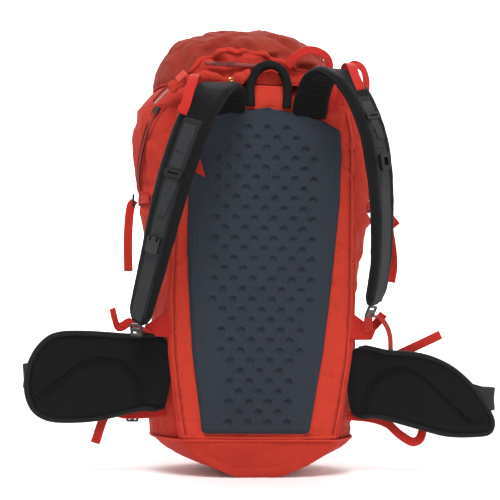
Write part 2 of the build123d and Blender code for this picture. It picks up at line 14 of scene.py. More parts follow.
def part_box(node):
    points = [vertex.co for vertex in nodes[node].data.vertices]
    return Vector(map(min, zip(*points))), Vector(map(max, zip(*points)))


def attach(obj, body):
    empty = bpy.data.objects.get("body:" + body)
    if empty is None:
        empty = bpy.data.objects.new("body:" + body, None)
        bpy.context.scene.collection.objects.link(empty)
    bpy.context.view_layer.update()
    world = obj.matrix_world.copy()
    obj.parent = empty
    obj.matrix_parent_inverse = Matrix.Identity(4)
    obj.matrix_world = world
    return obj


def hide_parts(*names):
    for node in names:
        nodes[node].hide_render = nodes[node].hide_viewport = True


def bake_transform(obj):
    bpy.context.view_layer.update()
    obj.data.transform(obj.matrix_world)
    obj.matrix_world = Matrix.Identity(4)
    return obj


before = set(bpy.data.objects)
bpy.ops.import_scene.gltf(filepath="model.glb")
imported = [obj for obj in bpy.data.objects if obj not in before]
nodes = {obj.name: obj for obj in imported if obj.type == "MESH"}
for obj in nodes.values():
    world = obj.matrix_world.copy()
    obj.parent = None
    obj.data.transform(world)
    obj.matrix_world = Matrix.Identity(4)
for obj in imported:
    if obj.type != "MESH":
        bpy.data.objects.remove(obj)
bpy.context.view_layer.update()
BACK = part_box("back_border")[0][1]
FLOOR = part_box("base_panel")[0][2]
SIDES = [(-1, "left"), (1, "right")]


def P(x, y, z):
    """Point from millimetres off the back face and the floor to the row frame, in metres."""
    return Vector((x / 1000, BACK + y / 1000, FLOOR + z / 1000))


def pts(rows):
    """Rows of millimetres as an array of points."""
    return np.array([P(*r) for r in rows], float)


def run_of(path):
    """Distance along a path at each of its points."""
    return np.concatenate([[0], np.cumsum(np.linalg.norm(np.diff(path, axis=0), axis=1))])


# ---- materials
def node(tree, kind, inputs=(), **settings):
    """New shader node; its inputs are pairs of a socket's key and a value or another socket."""
    made = tree.nodes.new(kind)
    for key, value in settings.items():
        setattr(made, key, value)
    for key, value in inputs:
        if isinstance(value, bpy.types.NodeSocket):
            tree.links.new(value, made.inputs[key])
        else:
            made.inputs[key].default_value = value
    return made


def maths(tree, operation, *values):
    """Output of a math node on the given values."""
    return node(tree, "ShaderNodeMath", list(enumerate(values)), operation=operation).outputs[0]


def wave(tree, distance, pitch):
    """Sine over a distance in metres, with its pitch in millimetres."""
    return maths(tree, "SINE", maths(tree, "MULTIPLY", distance, 2 * math.pi / (pitch / 1000)))


def speckle(tree, place, scale, detail, rough=0.5, distortion=0.0):
    """Noise over the object; scale is per metre."""
    inputs = [("Vector", place), ("Scale", scale), ("Detail", detail), ("Roughness", rough),
              ("Distortion", distortion)]
    return node(tree, "ShaderNodeTexNoise", inputs).outputs["Fac"]


def bump(tree, height, distance, normal=None, strength=0.5):
    """Normal raised by a height, on top of another normal if one is given."""
    inputs = [("Strength", strength), ("Distance", distance), ("Height", height)]
    if normal:
        inputs.append(("Normal", normal))
    return node(tree, "ShaderNodeBump", inputs).outputs["Normal"]


def mixed(tree, factor, dark, light):
    """Colour between two, each a tuple or a socket."""
    inputs = [(0, factor)]
    for socket, value in ((6, dark), (7, light)):
        inputs.append((socket, (*value, 1) if isinstance(value, tuple) else value))
    return node(tree, "ShaderNodeMix", inputs, data_type="RGBA").outputs[2]


def material(name, **values):
    """New material, its node tree and its shader with some of its inputs set."""
    made = bpy.data.materials.new(name)
    made.use_nodes = True
    shader = made.node_tree.nodes["Principled BSDF"]
    for key, value in values.items():
        shader.inputs[key.replace("_", " ")].default_value = value
    return made, made.node_tree, shader


# large folds in cloth: noise scale, share of the depth, stretch of the noise
FOLDS = [(7.0, 1.0, (1.0, 1.0, 1.7)), (19.0, 0.35, (1.6, 1.6, 0.8))]


def cloth(name, color, rough=0.8, sheen=0.03, weave=(0.9, 0.9), weave_depth=0.0004, rip=0.0,
          tint=0.14, ribs=None, spec=0.22, crumple=0.0):
    """Woven cloth: weave, ribs, ripstop grid and folds as bump, soft uneven colour, and painted
    shade along the threads.
    """
    made, tree, shader = material(name, Roughness=rough, Sheen_Weight=sheen,
                                  Specular_IOR_Level=spec)
    uv = node(tree, "ShaderNodeUVMap").outputs["UV"]
    split = node(tree, "ShaderNodeSeparateXYZ", [(0, uv)]).outputs
    place = node(tree, "ShaderNodeTexCoord").outputs["Object"]
    threads = maths(tree, "MULTIPLY", *(wave(tree, split[k], weave[k]) for k in (0, 1)))
    surface = threads
    if ribs:
        axis, pitch, depth = ribs
        surface = maths(tree, "MULTIPLY_ADD", wave(tree, split[axis], pitch), depth, surface)
    if rip:
        cells = [maths(tree, "PINGPONG", split[k], rip / 1000) for k in (0, 1)]
        lines = [maths(tree, "LESS_THAN", cell, rip / 9000) for cell in cells]
        surface = maths(tree, "ADD", maths(tree, "MAXIMUM", *lines), surface)
    normal = bump(tree, surface, weave_depth)
    normal = bump(tree, speckle(tree, place, 26.0, 4.0, 0.6), 0.004, normal)
    for scale, share, stretch in FOLDS if crumple else ():
        turned = node(tree, "ShaderNodeMapping", [("Vector", place), ("Scale", stretch),
                                                  ("Rotation", (0.3, 0.5, 0.4 * scale))])
        uneven = speckle(tree, turned.outputs["Vector"], scale, 1.0, 0.4, 0.25)
        valley = maths(tree, "ABSOLUTE", maths(tree, "SUBTRACT", uneven, 0.5))
        normal = bump(tree, maths(tree, "POWER", valley, 0.7), crumple * share / 1000, normal)
    dark = tuple(c * (1 - tint) for c in color)
    light = tuple(min(1, c * (1 + tint)) for c in color)
    patchy = mixed(tree, speckle(tree, place, 9.0, 6.0, 0.65), dark, light)
    # painted shade: the colour is darkened towards 0.45 of itself along the weave's threads,
    # standing in for shade between them
    thread_painted_shade = maths(tree, "MULTIPLY_ADD", threads, 0.12, 0.12)
    shade = mixed(tree, thread_painted_shade, patchy, tuple(c * 0.45 for c in color))
    tree.links.new(normal, shader.inputs["Normal"])
    tree.links.new(shade, shader.inputs["Base Color"])
    return made


def plain(name, color, rough=0.4, metal=0.0, coat=0.0):
    """Moulded plastic or metal with a faintly uneven surface."""
    made, tree, shader = material(name, Base_Color=(*color, 1), Metallic=metal, Coat_Weight=coat)
    grain = speckle(tree, node(tree, "ShaderNodeTexCoord").outputs["Object"], 420.0, 3.0)
    smear = node(tree, "ShaderNodeMapRange", [(0, grain), (3, rough * 0.8),
                                              (4, min(1, rough * 1.25))])
    tree.links.new(bump(tree, grain, 0.0003, strength=0.25), shader.inputs["Normal"])
    tree.links.new(smear.outputs[0], shader.inputs["Roughness"])
    return made


M = {
    "panel": cloth("panel_cloth", (0.50, 0.030, 0.016), rip=5.0, tint=0.2, crumple=22),
    "border": cloth("border_cloth", (0.57, 0.040, 0.020), weave=(1.1, 1.1), tint=0.16,
                    crumple=16),
    "lid": cloth("lid_cloth", (0.29, 0.026, 0.013), rough=0.85, tint=0.25, crumple=30),
    "web": cloth("red_webbing", (0.52, 0.018, 0.012), weave=(1.6, 2.4), weave_depth=0.0014,
                 rough=0.65, ribs=(0, 3.6, 1.6), tint=0.16),
    "seam": cloth("seam_cloth", (0.24, 0.012, 0.008), tint=0.1),
    "mesh": cloth("back_knit", (0.026, 0.033, 0.047), rough=0.9, sheen=0.05, weave=(1.6, 2.0),
                  weave_depth=0.0009, ribs=(0, 4.2, 0.9), tint=0.15),
    "strip": cloth("strap_mesh", (0.013, 0.015, 0.018), rough=0.85, weave=(1.8, 2.2),
                   weave_depth=0.0009, tint=0.2),
    "pad": cloth("black_knit", (0.0031, 0.0031, 0.0035), rough=0.62, sheen=0.015,
                 weave=(2.4, 2.8), weave_depth=0.0022, tint=0.3, spec=0.14, crumple=9),
    "bind": cloth("black_binding", (0.0045, 0.0045, 0.005), rough=0.6, sheen=0.02, tint=0.1,
                  spec=0.2),
    "dark_web": cloth("dark_webbing", (0.018, 0.020, 0.023), weave=(1.6, 2.4), rough=0.6,
                      ribs=(0, 3.6, 1.4), weave_depth=0.0012, tint=0.15, spec=0.3),
    "lining": cloth("lining_cloth", (0.16, 0.17, 0.18), tint=0.08),
    "plastic": plain("black_acetal", (0.008, 0.008, 0.009), rough=0.3),
    "glossy": plain("glossy_acetal", (0.008, 0.008, 0.009), rough=0.14, coat=0.4),
    "red_plastic": plain("red_grip", (0.62, 0.050, 0.028), rough=0.45),
    "zip": plain("zip_coil", (0.17, 0.010, 0.007), rough=0.5),
    "plastic_zip": plain("zip_slider_paint", (0.10, 0.012, 0.009), rough=0.35),
    "metal": plain("slider_metal", (0.10, 0.095, 0.09), rough=0.3, metal=0.9),
    "brass": plain("eyelet_brass", (0.75, 0.48, 0.16), rough=0.25, metal=1.0),
    "alloy": plain("stay_alloy", (0.75, 0.75, 0.77), rough=0.35, metal=1.0),
    "sheet": plain("frame_plastic", (0.65, 0.65, 0.63), rough=0.5),
    "cord": cloth("cord_sheath", (0.17, 0.028, 0.020), weave=(0.9, 1.2), tint=0.3),
    "tracer": cloth("cord_tracer", (0.42, 0.33, 0.29), weave=(0.9, 1.2), tint=0.4),
    "thread": cloth("thread", (0.20, 0.012, 0.008), tint=0.1),
}


# ---- mesh helpers
def fit(obj, body, slot=None, *stands_for):
    """Piece that rides on a body and hides the CAD nodes it stands for; its slot is not used."""
    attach(obj, body)
    if stands_for:
        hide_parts(*stands_for)
    return obj


def mesh_object(name, verts, faces, uvs=None, mat=None):
    """Smooth mesh in the scene; without uvs its X and Z places are used."""
    mesh = bpy.data.meshes.new(name)
    mesh.from_pydata([tuple(v) for v in verts], [], faces)
    mesh.update()
    layer = mesh.uv_layers.new(name="UVMap")
    corners = np.zeros(len(mesh.loops), int)
    mesh.loops.foreach_get("vertex_index", corners)
    if uvs is None:
        uvs = np.array(verts, float)[:, [0, 2]]
    layer.data.foreach_set("uv", np.asarray(uvs, float)[corners].ravel())
    mesh.polygons.foreach_set("use_smooth", [True] * len(mesh.polygons))
    obj = bpy.data.objects.new(name, mesh)
    bpy.context.scene.collection.objects.link(obj)
    if mat:
        mesh.materials.append(M[mat])
    return obj


def grid_faces(rows, cols, closed_cols=False, offset=0):
    """Quads between the rows of a grid of points."""
    faces = []
    for j in range(rows - 1):
        for i in range(cols if closed_cols else cols - 1):
            a, b = j * cols + i, j * cols + (i + 1) % cols
            faces.append((a + offset, b + offset, b + cols + offset, a + cols + offset))
    return faces


def grid_uv(grid):
    """Distances along the two ways of a grid of points, in metres."""
    across = np.linalg.norm(np.diff(grid, axis=1), axis=2)
    along = np.linalg.norm(np.diff(grid, axis=0), axis=2)
    u = np.concatenate([np.zeros((grid.shape[0], 1)), np.cumsum(across, 1)], 1)
    v = np.concatenate([np.zeros((1, grid.shape[1])), np.cumsum(along, 0)], 0)
    u = u - u.mean(axis=1, keepdims=True)
    return np.stack([u, v.mean(axis=1, keepdims=True) + 0 * u], 2).reshape(-1, 2)


def solidify(obj, thick, offset=-1.0):
    """Give cloth a thickness in metres."""
    solid = obj.modifiers.new("body", "SOLIDIFY")
    solid.thickness = thick
    solid.offset = offset


def sheet_mesh(name, grid, mat, thick=0.0, offset=-1.0):
    """Open grid of points as cloth; thick gives it a body."""
    rows, cols = grid.shape[:2]
    obj = mesh_object(name, grid.reshape(-1, 3), grid_faces(rows, cols), grid_uv(grid), mat)
    if thick:
        solidify(obj, thick, offset)
    return obj


def ring_mesh(name, rings, around, heights, mat, thick, cap=None):
    """Cloth wall of closed rings of points; around is its width in metres for the weave."""
    rows, cols = rings.shape[:2]
    faces = grid_faces(rows, cols, True)
    if cap is not None:
        faces.append(cap)
    across = np.repeat(np.linspace(0, around, cols)[None], rows, 0)
    uv = np.stack([across, heights], 2).reshape(-1, 2)
    obj = mesh_object(name, rings.reshape(-1, 3), faces, uv, mat)
    solidify(obj, thick)
    return obj


def uneven(grid, soft, sharp=()):
    """Sum of wobbles and ridges over a grid; each is (size, scale, seed)."""
    flat = grid.reshape(-1, 3)
    total = sum(wobble(flat, *given) for given in soft)
    total = total + sum(ridges(flat, *given) for given in sharp)
    return total.reshape(grid.shape[:2])


def closed(ring):
    """Ring of points with its first point again at the end."""
    return np.concatenate([ring, ring[:1]])


def turn_points(count):
    """Angles round a full turn, without the last one."""
    return np.linspace(0, 2 * math.pi, count, endpoint=False)


def spline(points, count):
    """Smooth line through points (Catmull-Rom over chord length)."""
    p = np.asarray(points, float)
    chord = np.linalg.norm(np.diff(p, axis=0), axis=1)
    t = np.concatenate([[0], np.cumsum(chord)])
    tangent = np.zeros_like(p)
    tangent[1:-1] = (p[2:] - p[:-2]) / (t[2:] - t[:-2])[:, None]
    tangent[0] = (p[1] - p[0]) / chord[0]
    tangent[-1] = (p[-1] - p[-2]) / chord[-1]
    s = np.linspace(0, t[-1], count)
    k = np.clip(np.searchsorted(t, s, side="right") - 1, 0, len(p) - 2)
    h = (t[k + 1] - t[k])[:, None]
    x = ((s - t[k])[:, None]) / h
    return ((2 * x**3 - 3 * x**2 + 1) * p[k] + (x**3 - 2 * x**2 + x) * h * tangent[k]
            + (3 * x**2 - 2 * x**3) * p[k + 1] + (x**3 - x**2) * h * tangent[k + 1])


def frames(path, sides):
    """Tangent, width and face directions along a path."""
    tangent = np.gradient(path, axis=0)
    tangent /= np.linalg.norm(tangent, axis=1)[:, None]
    side = sides - (sides * tangent).sum(1)[:, None] * tangent
    side /= np.linalg.norm(side, axis=1)[:, None]
    return tangent, side, np.cross(side, tangent)


def sweep(name, path, sides, section, mat, scale=None, caps=True):
    """Closed cross-section (metres, x over the width, y over the thickness) along a path."""
    sides = np.asarray(sides, float)
    if sides.ndim == 1:
        sides = np.repeat(sides[None], len(path), 0)
    _, side, face = frames(path, sides)
    section = np.asarray(section, float)
    n, k = len(path), len(section)
    if scale is None:
        scale = np.ones((n, 2))
    grid = (path[:, None, :] + side[:, None, :] * (section[None, :, 0] * scale[:, :1])[..., None]
            + face[:, None, :] * (section[None, :, 1] * scale[:, 1:])[..., None])
    uv = np.stack([np.repeat(section[None, :, 0], n, 0), np.repeat(run_of(path)[:, None], k, 1)], 2)
    faces = grid_faces(n, k, True)
    if caps:
        faces += [tuple(range(k))[::-1], tuple(range((n - 1) * k, n * k))]
    return mesh_object(name, grid.reshape(-1, 3), faces, uv.reshape(-1, 2), mat)


def round_section(width, thick, count=28, power=2.6):
    """Rounded, flattened section."""
    a = turn_points(count)
    c, s = np.cos(a), np.sin(a)
    return np.stack([np.sign(c) * abs(c) ** (2 / power) * width / 2,
                     np.sign(s) * abs(s) ** (2 / power) * thick / 2], 1)


def flat_section(width, thick):
    """Webbing: flat with softened edges."""
    w, t, e = width / 2, thick / 2, 0.0005
    return [(-w, 0), (-w + e, -t), (-w + 4 * e, -t), (0, -t), (w - 4 * e, -t), (w - e, -t), (w, 0),
            (w - e, t), (w - 4 * e, t), (0, t), (-w + 4 * e, t), (-w + e, t)]


def webbing(name, rows, across, width=15, thick=1.5, mat="web", count=None, folded=0):
    """Webbing through points in millimetres; a folded end is doubled and stitched."""
    ctrl = pts(rows)
    count = count or max(12, int(run_of(ctrl)[-1] / 0.004))
    path = spline(ctrl, count)
    across = np.atleast_2d(np.asarray(across, float))
    given, wanted = np.linspace(0, 1, len(across)), np.linspace(0, 1, count)
    across = np.stack([np.interp(wanted, given, across[:, i]) for i in range(3)], 1)
    strap = sweep(name, path, across, flat_section(width / 1000, thick / 1000), mat)
    if folded:
        run = run_of(path)
        last = run > run[-1] - folded / 1000
        _, side, face = frames(path, across)
        up = path[last] + face[last] * thick * 1.05 / 1000
        tab = sweep(name + "_fold", up, across[last],
                    flat_section(width / 1000 * 0.985, thick * 1.1 / 1000), mat)
        stitched = up[1] + face[last][1] * thick * 0.55 / 1000
        line = np.linspace(-0.42, 0.42, 8)[:, None] * width / 1000
        tube(name + "_bartack", stitched + line * side[last][1], 0.7, "thread", parent=tab)
        tab.parent = strap
    return strap


def tube(name, path, radius, mat, parent=None, count=8):
    """Round cord or piping through points in metres, radius in millimetres."""
    path = np.asarray(path, float)
    a = turn_points(count)
    section = np.stack([np.cos(a), np.sin(a)], 1) * radius / 1000
    tangent = np.gradient(path, axis=0)
    side = np.cross(tangent, np.array([0.31, 0.87, 0.38]))
    obj = sweep(name, path, side, section, mat)
    if parent:
        obj.parent = parent
    return obj


def stitches(name, path, mat, pitch=4.2, length=2.6, radius=0.4):
    """Row of short thread stitches along a line of points; sizes in millimetres."""
    run = run_of(path)
    verts, faces = [], []
    for k in range(max(2, int(run[-1] * 1000 / pitch))):
        start = (k + 0.2) * pitch / 1000
        ends = [np.array([np.interp(at, run, path[:, i]) for i in range(3)])
                for at in (start, start + length / 1000)]
        along = ends[1] - ends[0]
        along /= max(np.linalg.norm(along), 1e-9)
        side = np.cross(along, [0.2, 1, 0.15])
        side /= np.linalg.norm(side)
        out = np.cross(side, along)
        base = len(verts)
        for end in ends:
            for turn in np.arange(4) * math.pi / 2:
                spoke = side * math.cos(turn) + out * math.sin(turn)
                verts.append(end + spoke * radius / 1000)
        faces += [(base + a, base + (a + 1) % 4, base + 4 + (a + 1) % 4, base + 4 + a)
                  for a in range(4)]
        faces += [(base, base + 1, base + 2, base + 3), (base + 7, base + 6, base + 5, base + 4)]
    return mesh_object(name, verts, faces, None, mat)


def wobble(points, size, scale, seed=0.0):
    """Smooth random value at each point."""
    return np.array([noise.noise(Vector((p[0] / scale + seed, p[1] / scale, p[2] / scale)))
                     for p in points]) * size


def ridges(points, size, scale, seed, sharp=2.2):
    """Creases: sharp valleys where a smooth random field crosses zero."""
    field = wobble(points, 1.0, scale, seed)
    strong = np.clip(0.5 + 1.4 * wobble(points, 1.0, scale * 2.3, seed + 50), 0, 1)
    return -size * strong * np.clip(1 - np.abs(field) * 4.2, 0, 1) ** sharp


def along_line(points, start, end):
    """Share of the way along a line and distance from it, for each point."""
    way = end - start
    share = np.clip(((points - start) @ way) / (way @ way), 0, 1)
    return share, np.linalg.norm(points - (start + share[:, None] * way), axis=1)


# ---- packbag
# height, half width at the back corner, at the middle and at the front corner, and front depth;
# the base and the collar also have the back wall's place
LEVELS = np.array([
    (60, 128, 170, 138, 212), (110, 138, 176, 143, 222), (200, 149, 174, 146, 232),
    (290, 153, 174, 148, 237), (380, 153, 188, 153, 239), (455, 151, 203, 160, 239),
    (530, 149, 210, 164, 236), (600, 142, 206, 160, 228)], float)
BASE = np.array([(0, 32, 37, 32, 172, 8), (6, 50, 60, 50, 182, 5), (24, 88, 112, 94, 199, 3),
                 (43, 113, 150, 123, 208, 2), (60, 127, 170, 138, 212, 0)], float)
COLLAR = np.array([(600, 142, 206, 160, 228, 17), (636, 120, 174, 132, 214, 20),
                   (655, 78, 112, 84, 182, 44)], float)


def level_at(table, z):
    """Smooth row of a level table at height z."""
    dense = spline(table, 400)
    return np.array([np.interp(z, dense[:, 0], dense[:, i]) for i in range(table.shape[1])])


def arc(p1, p2, p3, count):
    """Circle arc through three points."""
    (x0, y0), (x1, y1), (x2, y2) = p1, p2, p3
    turn = 2 * ((x1 - x0) * (y2 - y0) - (x2 - x0) * (y1 - y0))
    a, b = (x1 - x0) ** 2 + (y1 - y0) ** 2, (x2 - x0) ** 2 + (y2 - y0) ** 2
    cx = x0 + ((y2 - y0) * a - (y1 - y0) * b) / turn
    cy = y0 + ((x1 - x0) * b - (x2 - x0) * a) / turn
    r = math.hypot(x0 - cx, y0 - cy)
    start, mid, end = (math.atan2(y - cy, x - cx) for x, y in (p1, p2, p3))
    if (mid - start) % (2 * math.pi) > (end - start) % (2 * math.pi):
        sweep_by = -((start - end) % (2 * math.pi))
    else:
        sweep_by = (end - start) % (2 * math.pi)
    angle = start + np.linspace(0, 1, count) * sweep_by
    return np.stack([cx + r * np.cos(angle), cy + r * np.sin(angle)], 1)


def side_arc(row, count=40, back_y=17.0):
    """Side panel's outline at one level, from the back corner to the front corner."""
    return arc((row[1], back_y), (row[2], 90), (row[3], 170), count)


def front_arc(row, count=48):
    """Front panel's outline at one level."""
    return arc((row[3], 170), (0, row[4]), (-row[3], 170), count)


def outward(grid):
    """Unit normals of a grid of points, pointing away from the bag's middle line."""
    du, dv = np.gradient(grid, axis=1), np.gradient(grid, axis=0)
    normal = np.cross(du, dv)
    normal /= np.linalg.norm(normal, axis=2)[..., None] + 1e-12
    middle = np.array([0, BACK + 0.12, 0])
    flip = np.sign(((grid - middle)[..., :2] * normal[..., :2]).sum(2))[..., None]
    return normal * np.where(flip == 0, 1, flip)


def creased(grid, amount, seed, creases=()):
    """Cloth grid pushed in and out: broad sag, finer crumple, and named creases.

    A crease is (start, end, depth, width) in millimetres."""
    flat = grid.reshape(-1, 3)
    push = wobble(flat, 0.6 * amount, 0.11, seed) + wobble(flat, 0.45 * amount, 0.045, seed + 7)
    push += wobble(flat, 0.16 * amount, 0.018, seed + 19)
    push += ridges(flat, 0.9 * amount, 0.06, seed + 3) + ridges(flat, 0.4 * amount, 0.026, seed + 5)
    for start, end, depth, width in creases:
        share, away = along_line(flat, np.array(P(*start)), np.array(P(*end)))
        away = away * 1000 / width
        fade = np.sin(np.pi * np.clip(share, 0.04, 0.96)) ** 0.6
        push += depth / 1000 * fade * (np.exp(-away**2) - 0.55 * np.exp(-((away - 1.7) / 0.8) ** 2))
    push = push.reshape(grid.shape[:2])
    for axis, size in enumerate(push.shape):
        steps = np.arange(size)
        fade = np.clip(np.minimum(steps, size - 1 - steps) / 4, 0, 1)
        push = push * np.expand_dims(fade, 1 - axis)
    return grid + outward(grid) * push[..., None]


def pinch(z):
    """How far the compression straps draw a side panel in at height z."""
    return 5 * math.exp(-((z - 449) / 22) ** 2) + 3 * math.exp(-((z - 246) / 20) ** 2)


def side_grid(side):
    """Points of a side panel before its creases."""
    grid = []
    for z in np.linspace(60, 600, 110):
        row = level_at(LEVELS, z)
        line = side_arc(row)
        line[:, 0] -= pinch(z) * np.sin(np.linspace(0, math.pi, len(line)))
        grid.append([P(side * x, y, z) for x, y in line])
    return np.array(grid)


SIDE_CREASES = {
    -1: [((-196, 60, 590), (-200, 66, 470), 4.5, 7), ((-186, 40, 560), (-190, 45, 480), 3.0, 6),
         ((-206, 95, 585), (-206, 100, 500), 4.0, 10), ((-200, 90, 470), (-176, 40, 455), 6.0, 8),
         ((-200, 90, 430), (-170, 36, 420), 5.0, 9), ((-186, 70, 400), (-172, 40, 330), 3.5, 9),
         ((-176, 80, 260), (-160, 30, 300), 3.5, 8), ((-174, 60, 150), (-158, 30, 180), 3.0, 8)],
    1: [((198, 80, 560), (170, 28, 530), 4.0, 8), ((205, 90, 470), (170, 30, 490), 5.0, 8),
        ((200, 90, 430), (168, 28, 415), 5.0, 8), ((186, 80, 380), (160, 24, 350), 4.0, 9),
        ((178, 80, 300), (158, 24, 330), 3.0, 8), ((176, 60, 180), (160, 28, 140), 3.0, 8)],
}
for side, name in SIDES:
    grid = creased(side_grid(side), 0.0065, 3.0 * side, SIDE_CREASES[side])
    panel = sheet_mesh(f"bag_side_{name}", grid, "panel", 0.0012, -1.0 if side > 0 else 1.0)
    fit(panel, "pack", "red_panel", f"side_panel_{name}")
    for end, index, lift in (("back", 0, 0.0), ("front", -1, 0.8)):
        line = grid[:, index] + np.array([side * 0.001, lift / 1000, 0])
        seam = tube(f"seam_side_{name}_{end}", line, 1.7, "border")
        fit(seam, "pack", "red_panel")

front = np.array([[P(x, y, z) for x, y in front_arc(level_at(LEVELS, z))]
                  for z in np.linspace(60, 600, 100)])
front = creased(front, 0.004, 11.0, [
    ((-60, 235, 560), (40, 240, 500), 4, 10), ((70, 230, 420), (-30, 240, 380), 4, 12),
    ((-90, 225, 300), (-20, 237, 240), 4, 10), ((60, 230, 200), (10, 235, 130), 4, 10)])
front_panel = sheet_mesh("bag_front", front, "panel", 0.0012, 1.0)
fit(front_panel, "pack", "red_panel", "front_panel")


def bag_ring(table, z, sides, backs, fronts):
    """Closed ring round the bag, starting at the back wall's left corner."""
    row = level_at(table, z)
    side = side_arc(row, sides, row[5])
    back = np.stack([np.linspace(-row[1], row[1], backs), np.full(backs, row[5])], 1)
    return np.concatenate([back[:-1], side[:-1], front_arc(row, fronts)[:-1],
                           (side * [-1, 1])[::-1][:-1]])


# base: back wall, sides and front in one bowl, with a flat foot
BOWL_Z = [0, 2, 5, 9, 14, 20, 26, 32, 38, 44, 50, 55, 60]
bowl = np.array([[P(x, y, z) for x, y in bag_ring(BASE, z, 30, 40, 50)] for z in BOWL_Z])
soft = uneven(bowl, [(0.006, 0.06, 31.0)], [(0.008, 0.06, 33.0), (0.002, 0.022, 36.0)])
soft[0] = 0
soft[-1] *= 0.2
soft *= np.linspace(0.1, 1, len(bowl))[:, None]
away = bowl - np.array([0, BACK + 0.1, 0])
away[..., 2] = 0
away /= np.linalg.norm(away, axis=2)[..., None]
bowl = bowl + away * soft[..., None]
base = ring_mesh("bag_base", bowl, 1.05, bowl[..., 2], "panel", 0.0015,
                 tuple(range(bowl.shape[1]))[::-1])
fit(base, "pack", "red_panel", "base_panel")
fit(tube("seam_base", closed(bowl[-1]), 2.0, "border"), "pack", "red_border")

# collar: gathers in towards its drawcord
heights = np.concatenate([np.linspace(600, 636, 10), np.linspace(638, 655, 8)])
rings = np.array([bag_ring(COLLAR, z, 50, 60, 60) for z in heights])
theta = turn_points(rings.shape[1])
tucks = np.sin(46 * theta + 1.5 * np.sin(5 * theta)) * 3.4 + np.sin(31 * theta) * 1.6
depth = np.clip((heights - 612) / 36, 0, 1)[:, None]
middle = rings.mean(axis=1, keepdims=True)
away = (rings - middle) / np.linalg.norm(rings - middle, axis=2)[..., None]
rings = rings - away * (np.abs(tucks) * depth)[..., None]
collar_grid = np.array([[P(x, y, z) for x, y in ring] for ring, z in zip(rings, heights)])
collar = ring_mesh("bag_collar", collar_grid, 1.1, collar_grid[..., 2], "panel", 0.0012)
fit(collar, "pack", "red_panel", "collar", "collar_drawcord")
fit(tube("collar_cord_ring", closed(collar_grid[-1]), 2.2, "bind"), "pack", "cord")

# ---- back panel
BORDER_HALF = np.array([(60, 127), (75, 130), (120, 138), (200, 149), (290, 153), (455, 151),
                        (560, 149), (600, 141), (606, 120), (611, 70), (612, 0)], float)
PAD_LEFT = np.array([(73, -88), (76, -93), (205, -112), (320, -121), (400, -124), (540, -124),
                     (566, -122), (580, -96), (590, -60), (598, -4)], float)
PAD_RIGHT = np.array([(73, 76), (76, 80), (205, 100), (320, 112), (450, 123), (540, 124),
                      (566, 122), (580, 96), (590, 60), (598, 4)], float)


def edge(table, z):
    """Half width or edge from a table at height z."""
    return np.interp(z, table[:, 0], table[:, 1])


# red border: soft front face with rounded edges, and its side walls
EDGE_ROUND = 7
border_rows = []
for z in np.concatenate([np.linspace(60, 590, 130), np.linspace(593, 611.5, 12)]):
    half = edge(BORDER_HALF, z)
    across = np.linspace(-1, 1, 90)
    across = np.sign(across) * (1 - (1 - np.abs(across)) ** 1.25)
    line = [(v * half, 4.5 * max(0.0, 1 - (1 - abs(v)) * half / EDGE_ROUND) ** 2, z)
            for v in across]
    border_rows.append([P(*p) for p in [(-half, 15, z), *line, (half, 15, z)]])
border_grid = np.array(border_rows)
push = uneven(border_grid, [(0.0020, 0.08, 41.0), (0.0013, 0.024, 45.0), (0.0006, 0.010, 49.0)],
              [(-0.0040, 0.034, 47.0), (-0.0018, 0.015, 48.0)])
push[:, [0, -1]] = 0
border_grid[..., 1] += push
border = sheet_mesh("back_border_cloth", border_grid, "border")
fit(border, "pack", "red_border", "back_border")
back_wall = sheet_mesh("border_rear", border_grid[:, [0, -1]] + np.array([0, 0.0005, 0]), "border")
fit(back_wall, "pack", "red_border")
flat = border_grid[:, 1:-1].reshape(-1, 3)


def on_border(x, z, out):
    """Point on the wrinkled border cloth, lifted off it by out millimetres."""
    at = P(x, 0, z)
    near = np.argsort((flat[:, 0] - at[0]) ** 2 + (flat[:, 2] - at[2]) ** 2)[:3]
    return (at[0], flat[near, 1].mean() - out / 1000, at[2])


for side, name in SIDES:
    zs = np.linspace(62, 600, 130)
    line = np.array([P(side * (edge(BORDER_HALF, z) + 0.4), 5.5, z) for z in zs])
    fit(tube(f"border_piping_{name}", line, 2.3, "panel"), "pack", "red_border")
    line = np.array([on_border(side * (edge(BORDER_HALF, z) - 8.5), z, 0.1) for z in zs])
    fit(tube(f"border_seam_{name}", line, 0.9, "seam"), "pack", "red_border")
    line = np.array([on_border(side * (edge(BORDER_HALF, z) - 11), z, 0.1) for z in zs])
    fit(stitches(f"border_stitch_{name}", line, "thread"), "pack")
foot_line = np.array([P(x, 1.0, 64.5 + 0.00012 * x * x) for x in np.linspace(-126, 126, 60)])
piping = tube("foot_piping", foot_line, 2.6, "border")
fit(piping, "pack", "red_border")

# dimpled pad: dimples in each row, counted from the lowest row
COUNTS = [4, 3, 4, 3, 4, 3, 4, 5, 4, 5, 4, 5, 6, 5, 6, 5, 6, 5, 6, 5, 6, 5, 6, 5, 6, 5, 6, 5, 4, 3]
PITCH_X, PITCH_Z, FIRST_Z = 32.0, 16.4, 88
spots = [(-6 + 6 * row / len(COUNTS) + (k - (count - 1) / 2) * PITCH_X, FIRST_Z + row * PITCH_Z)
         for row, count in enumerate(COUNTS) for k in range(count)]


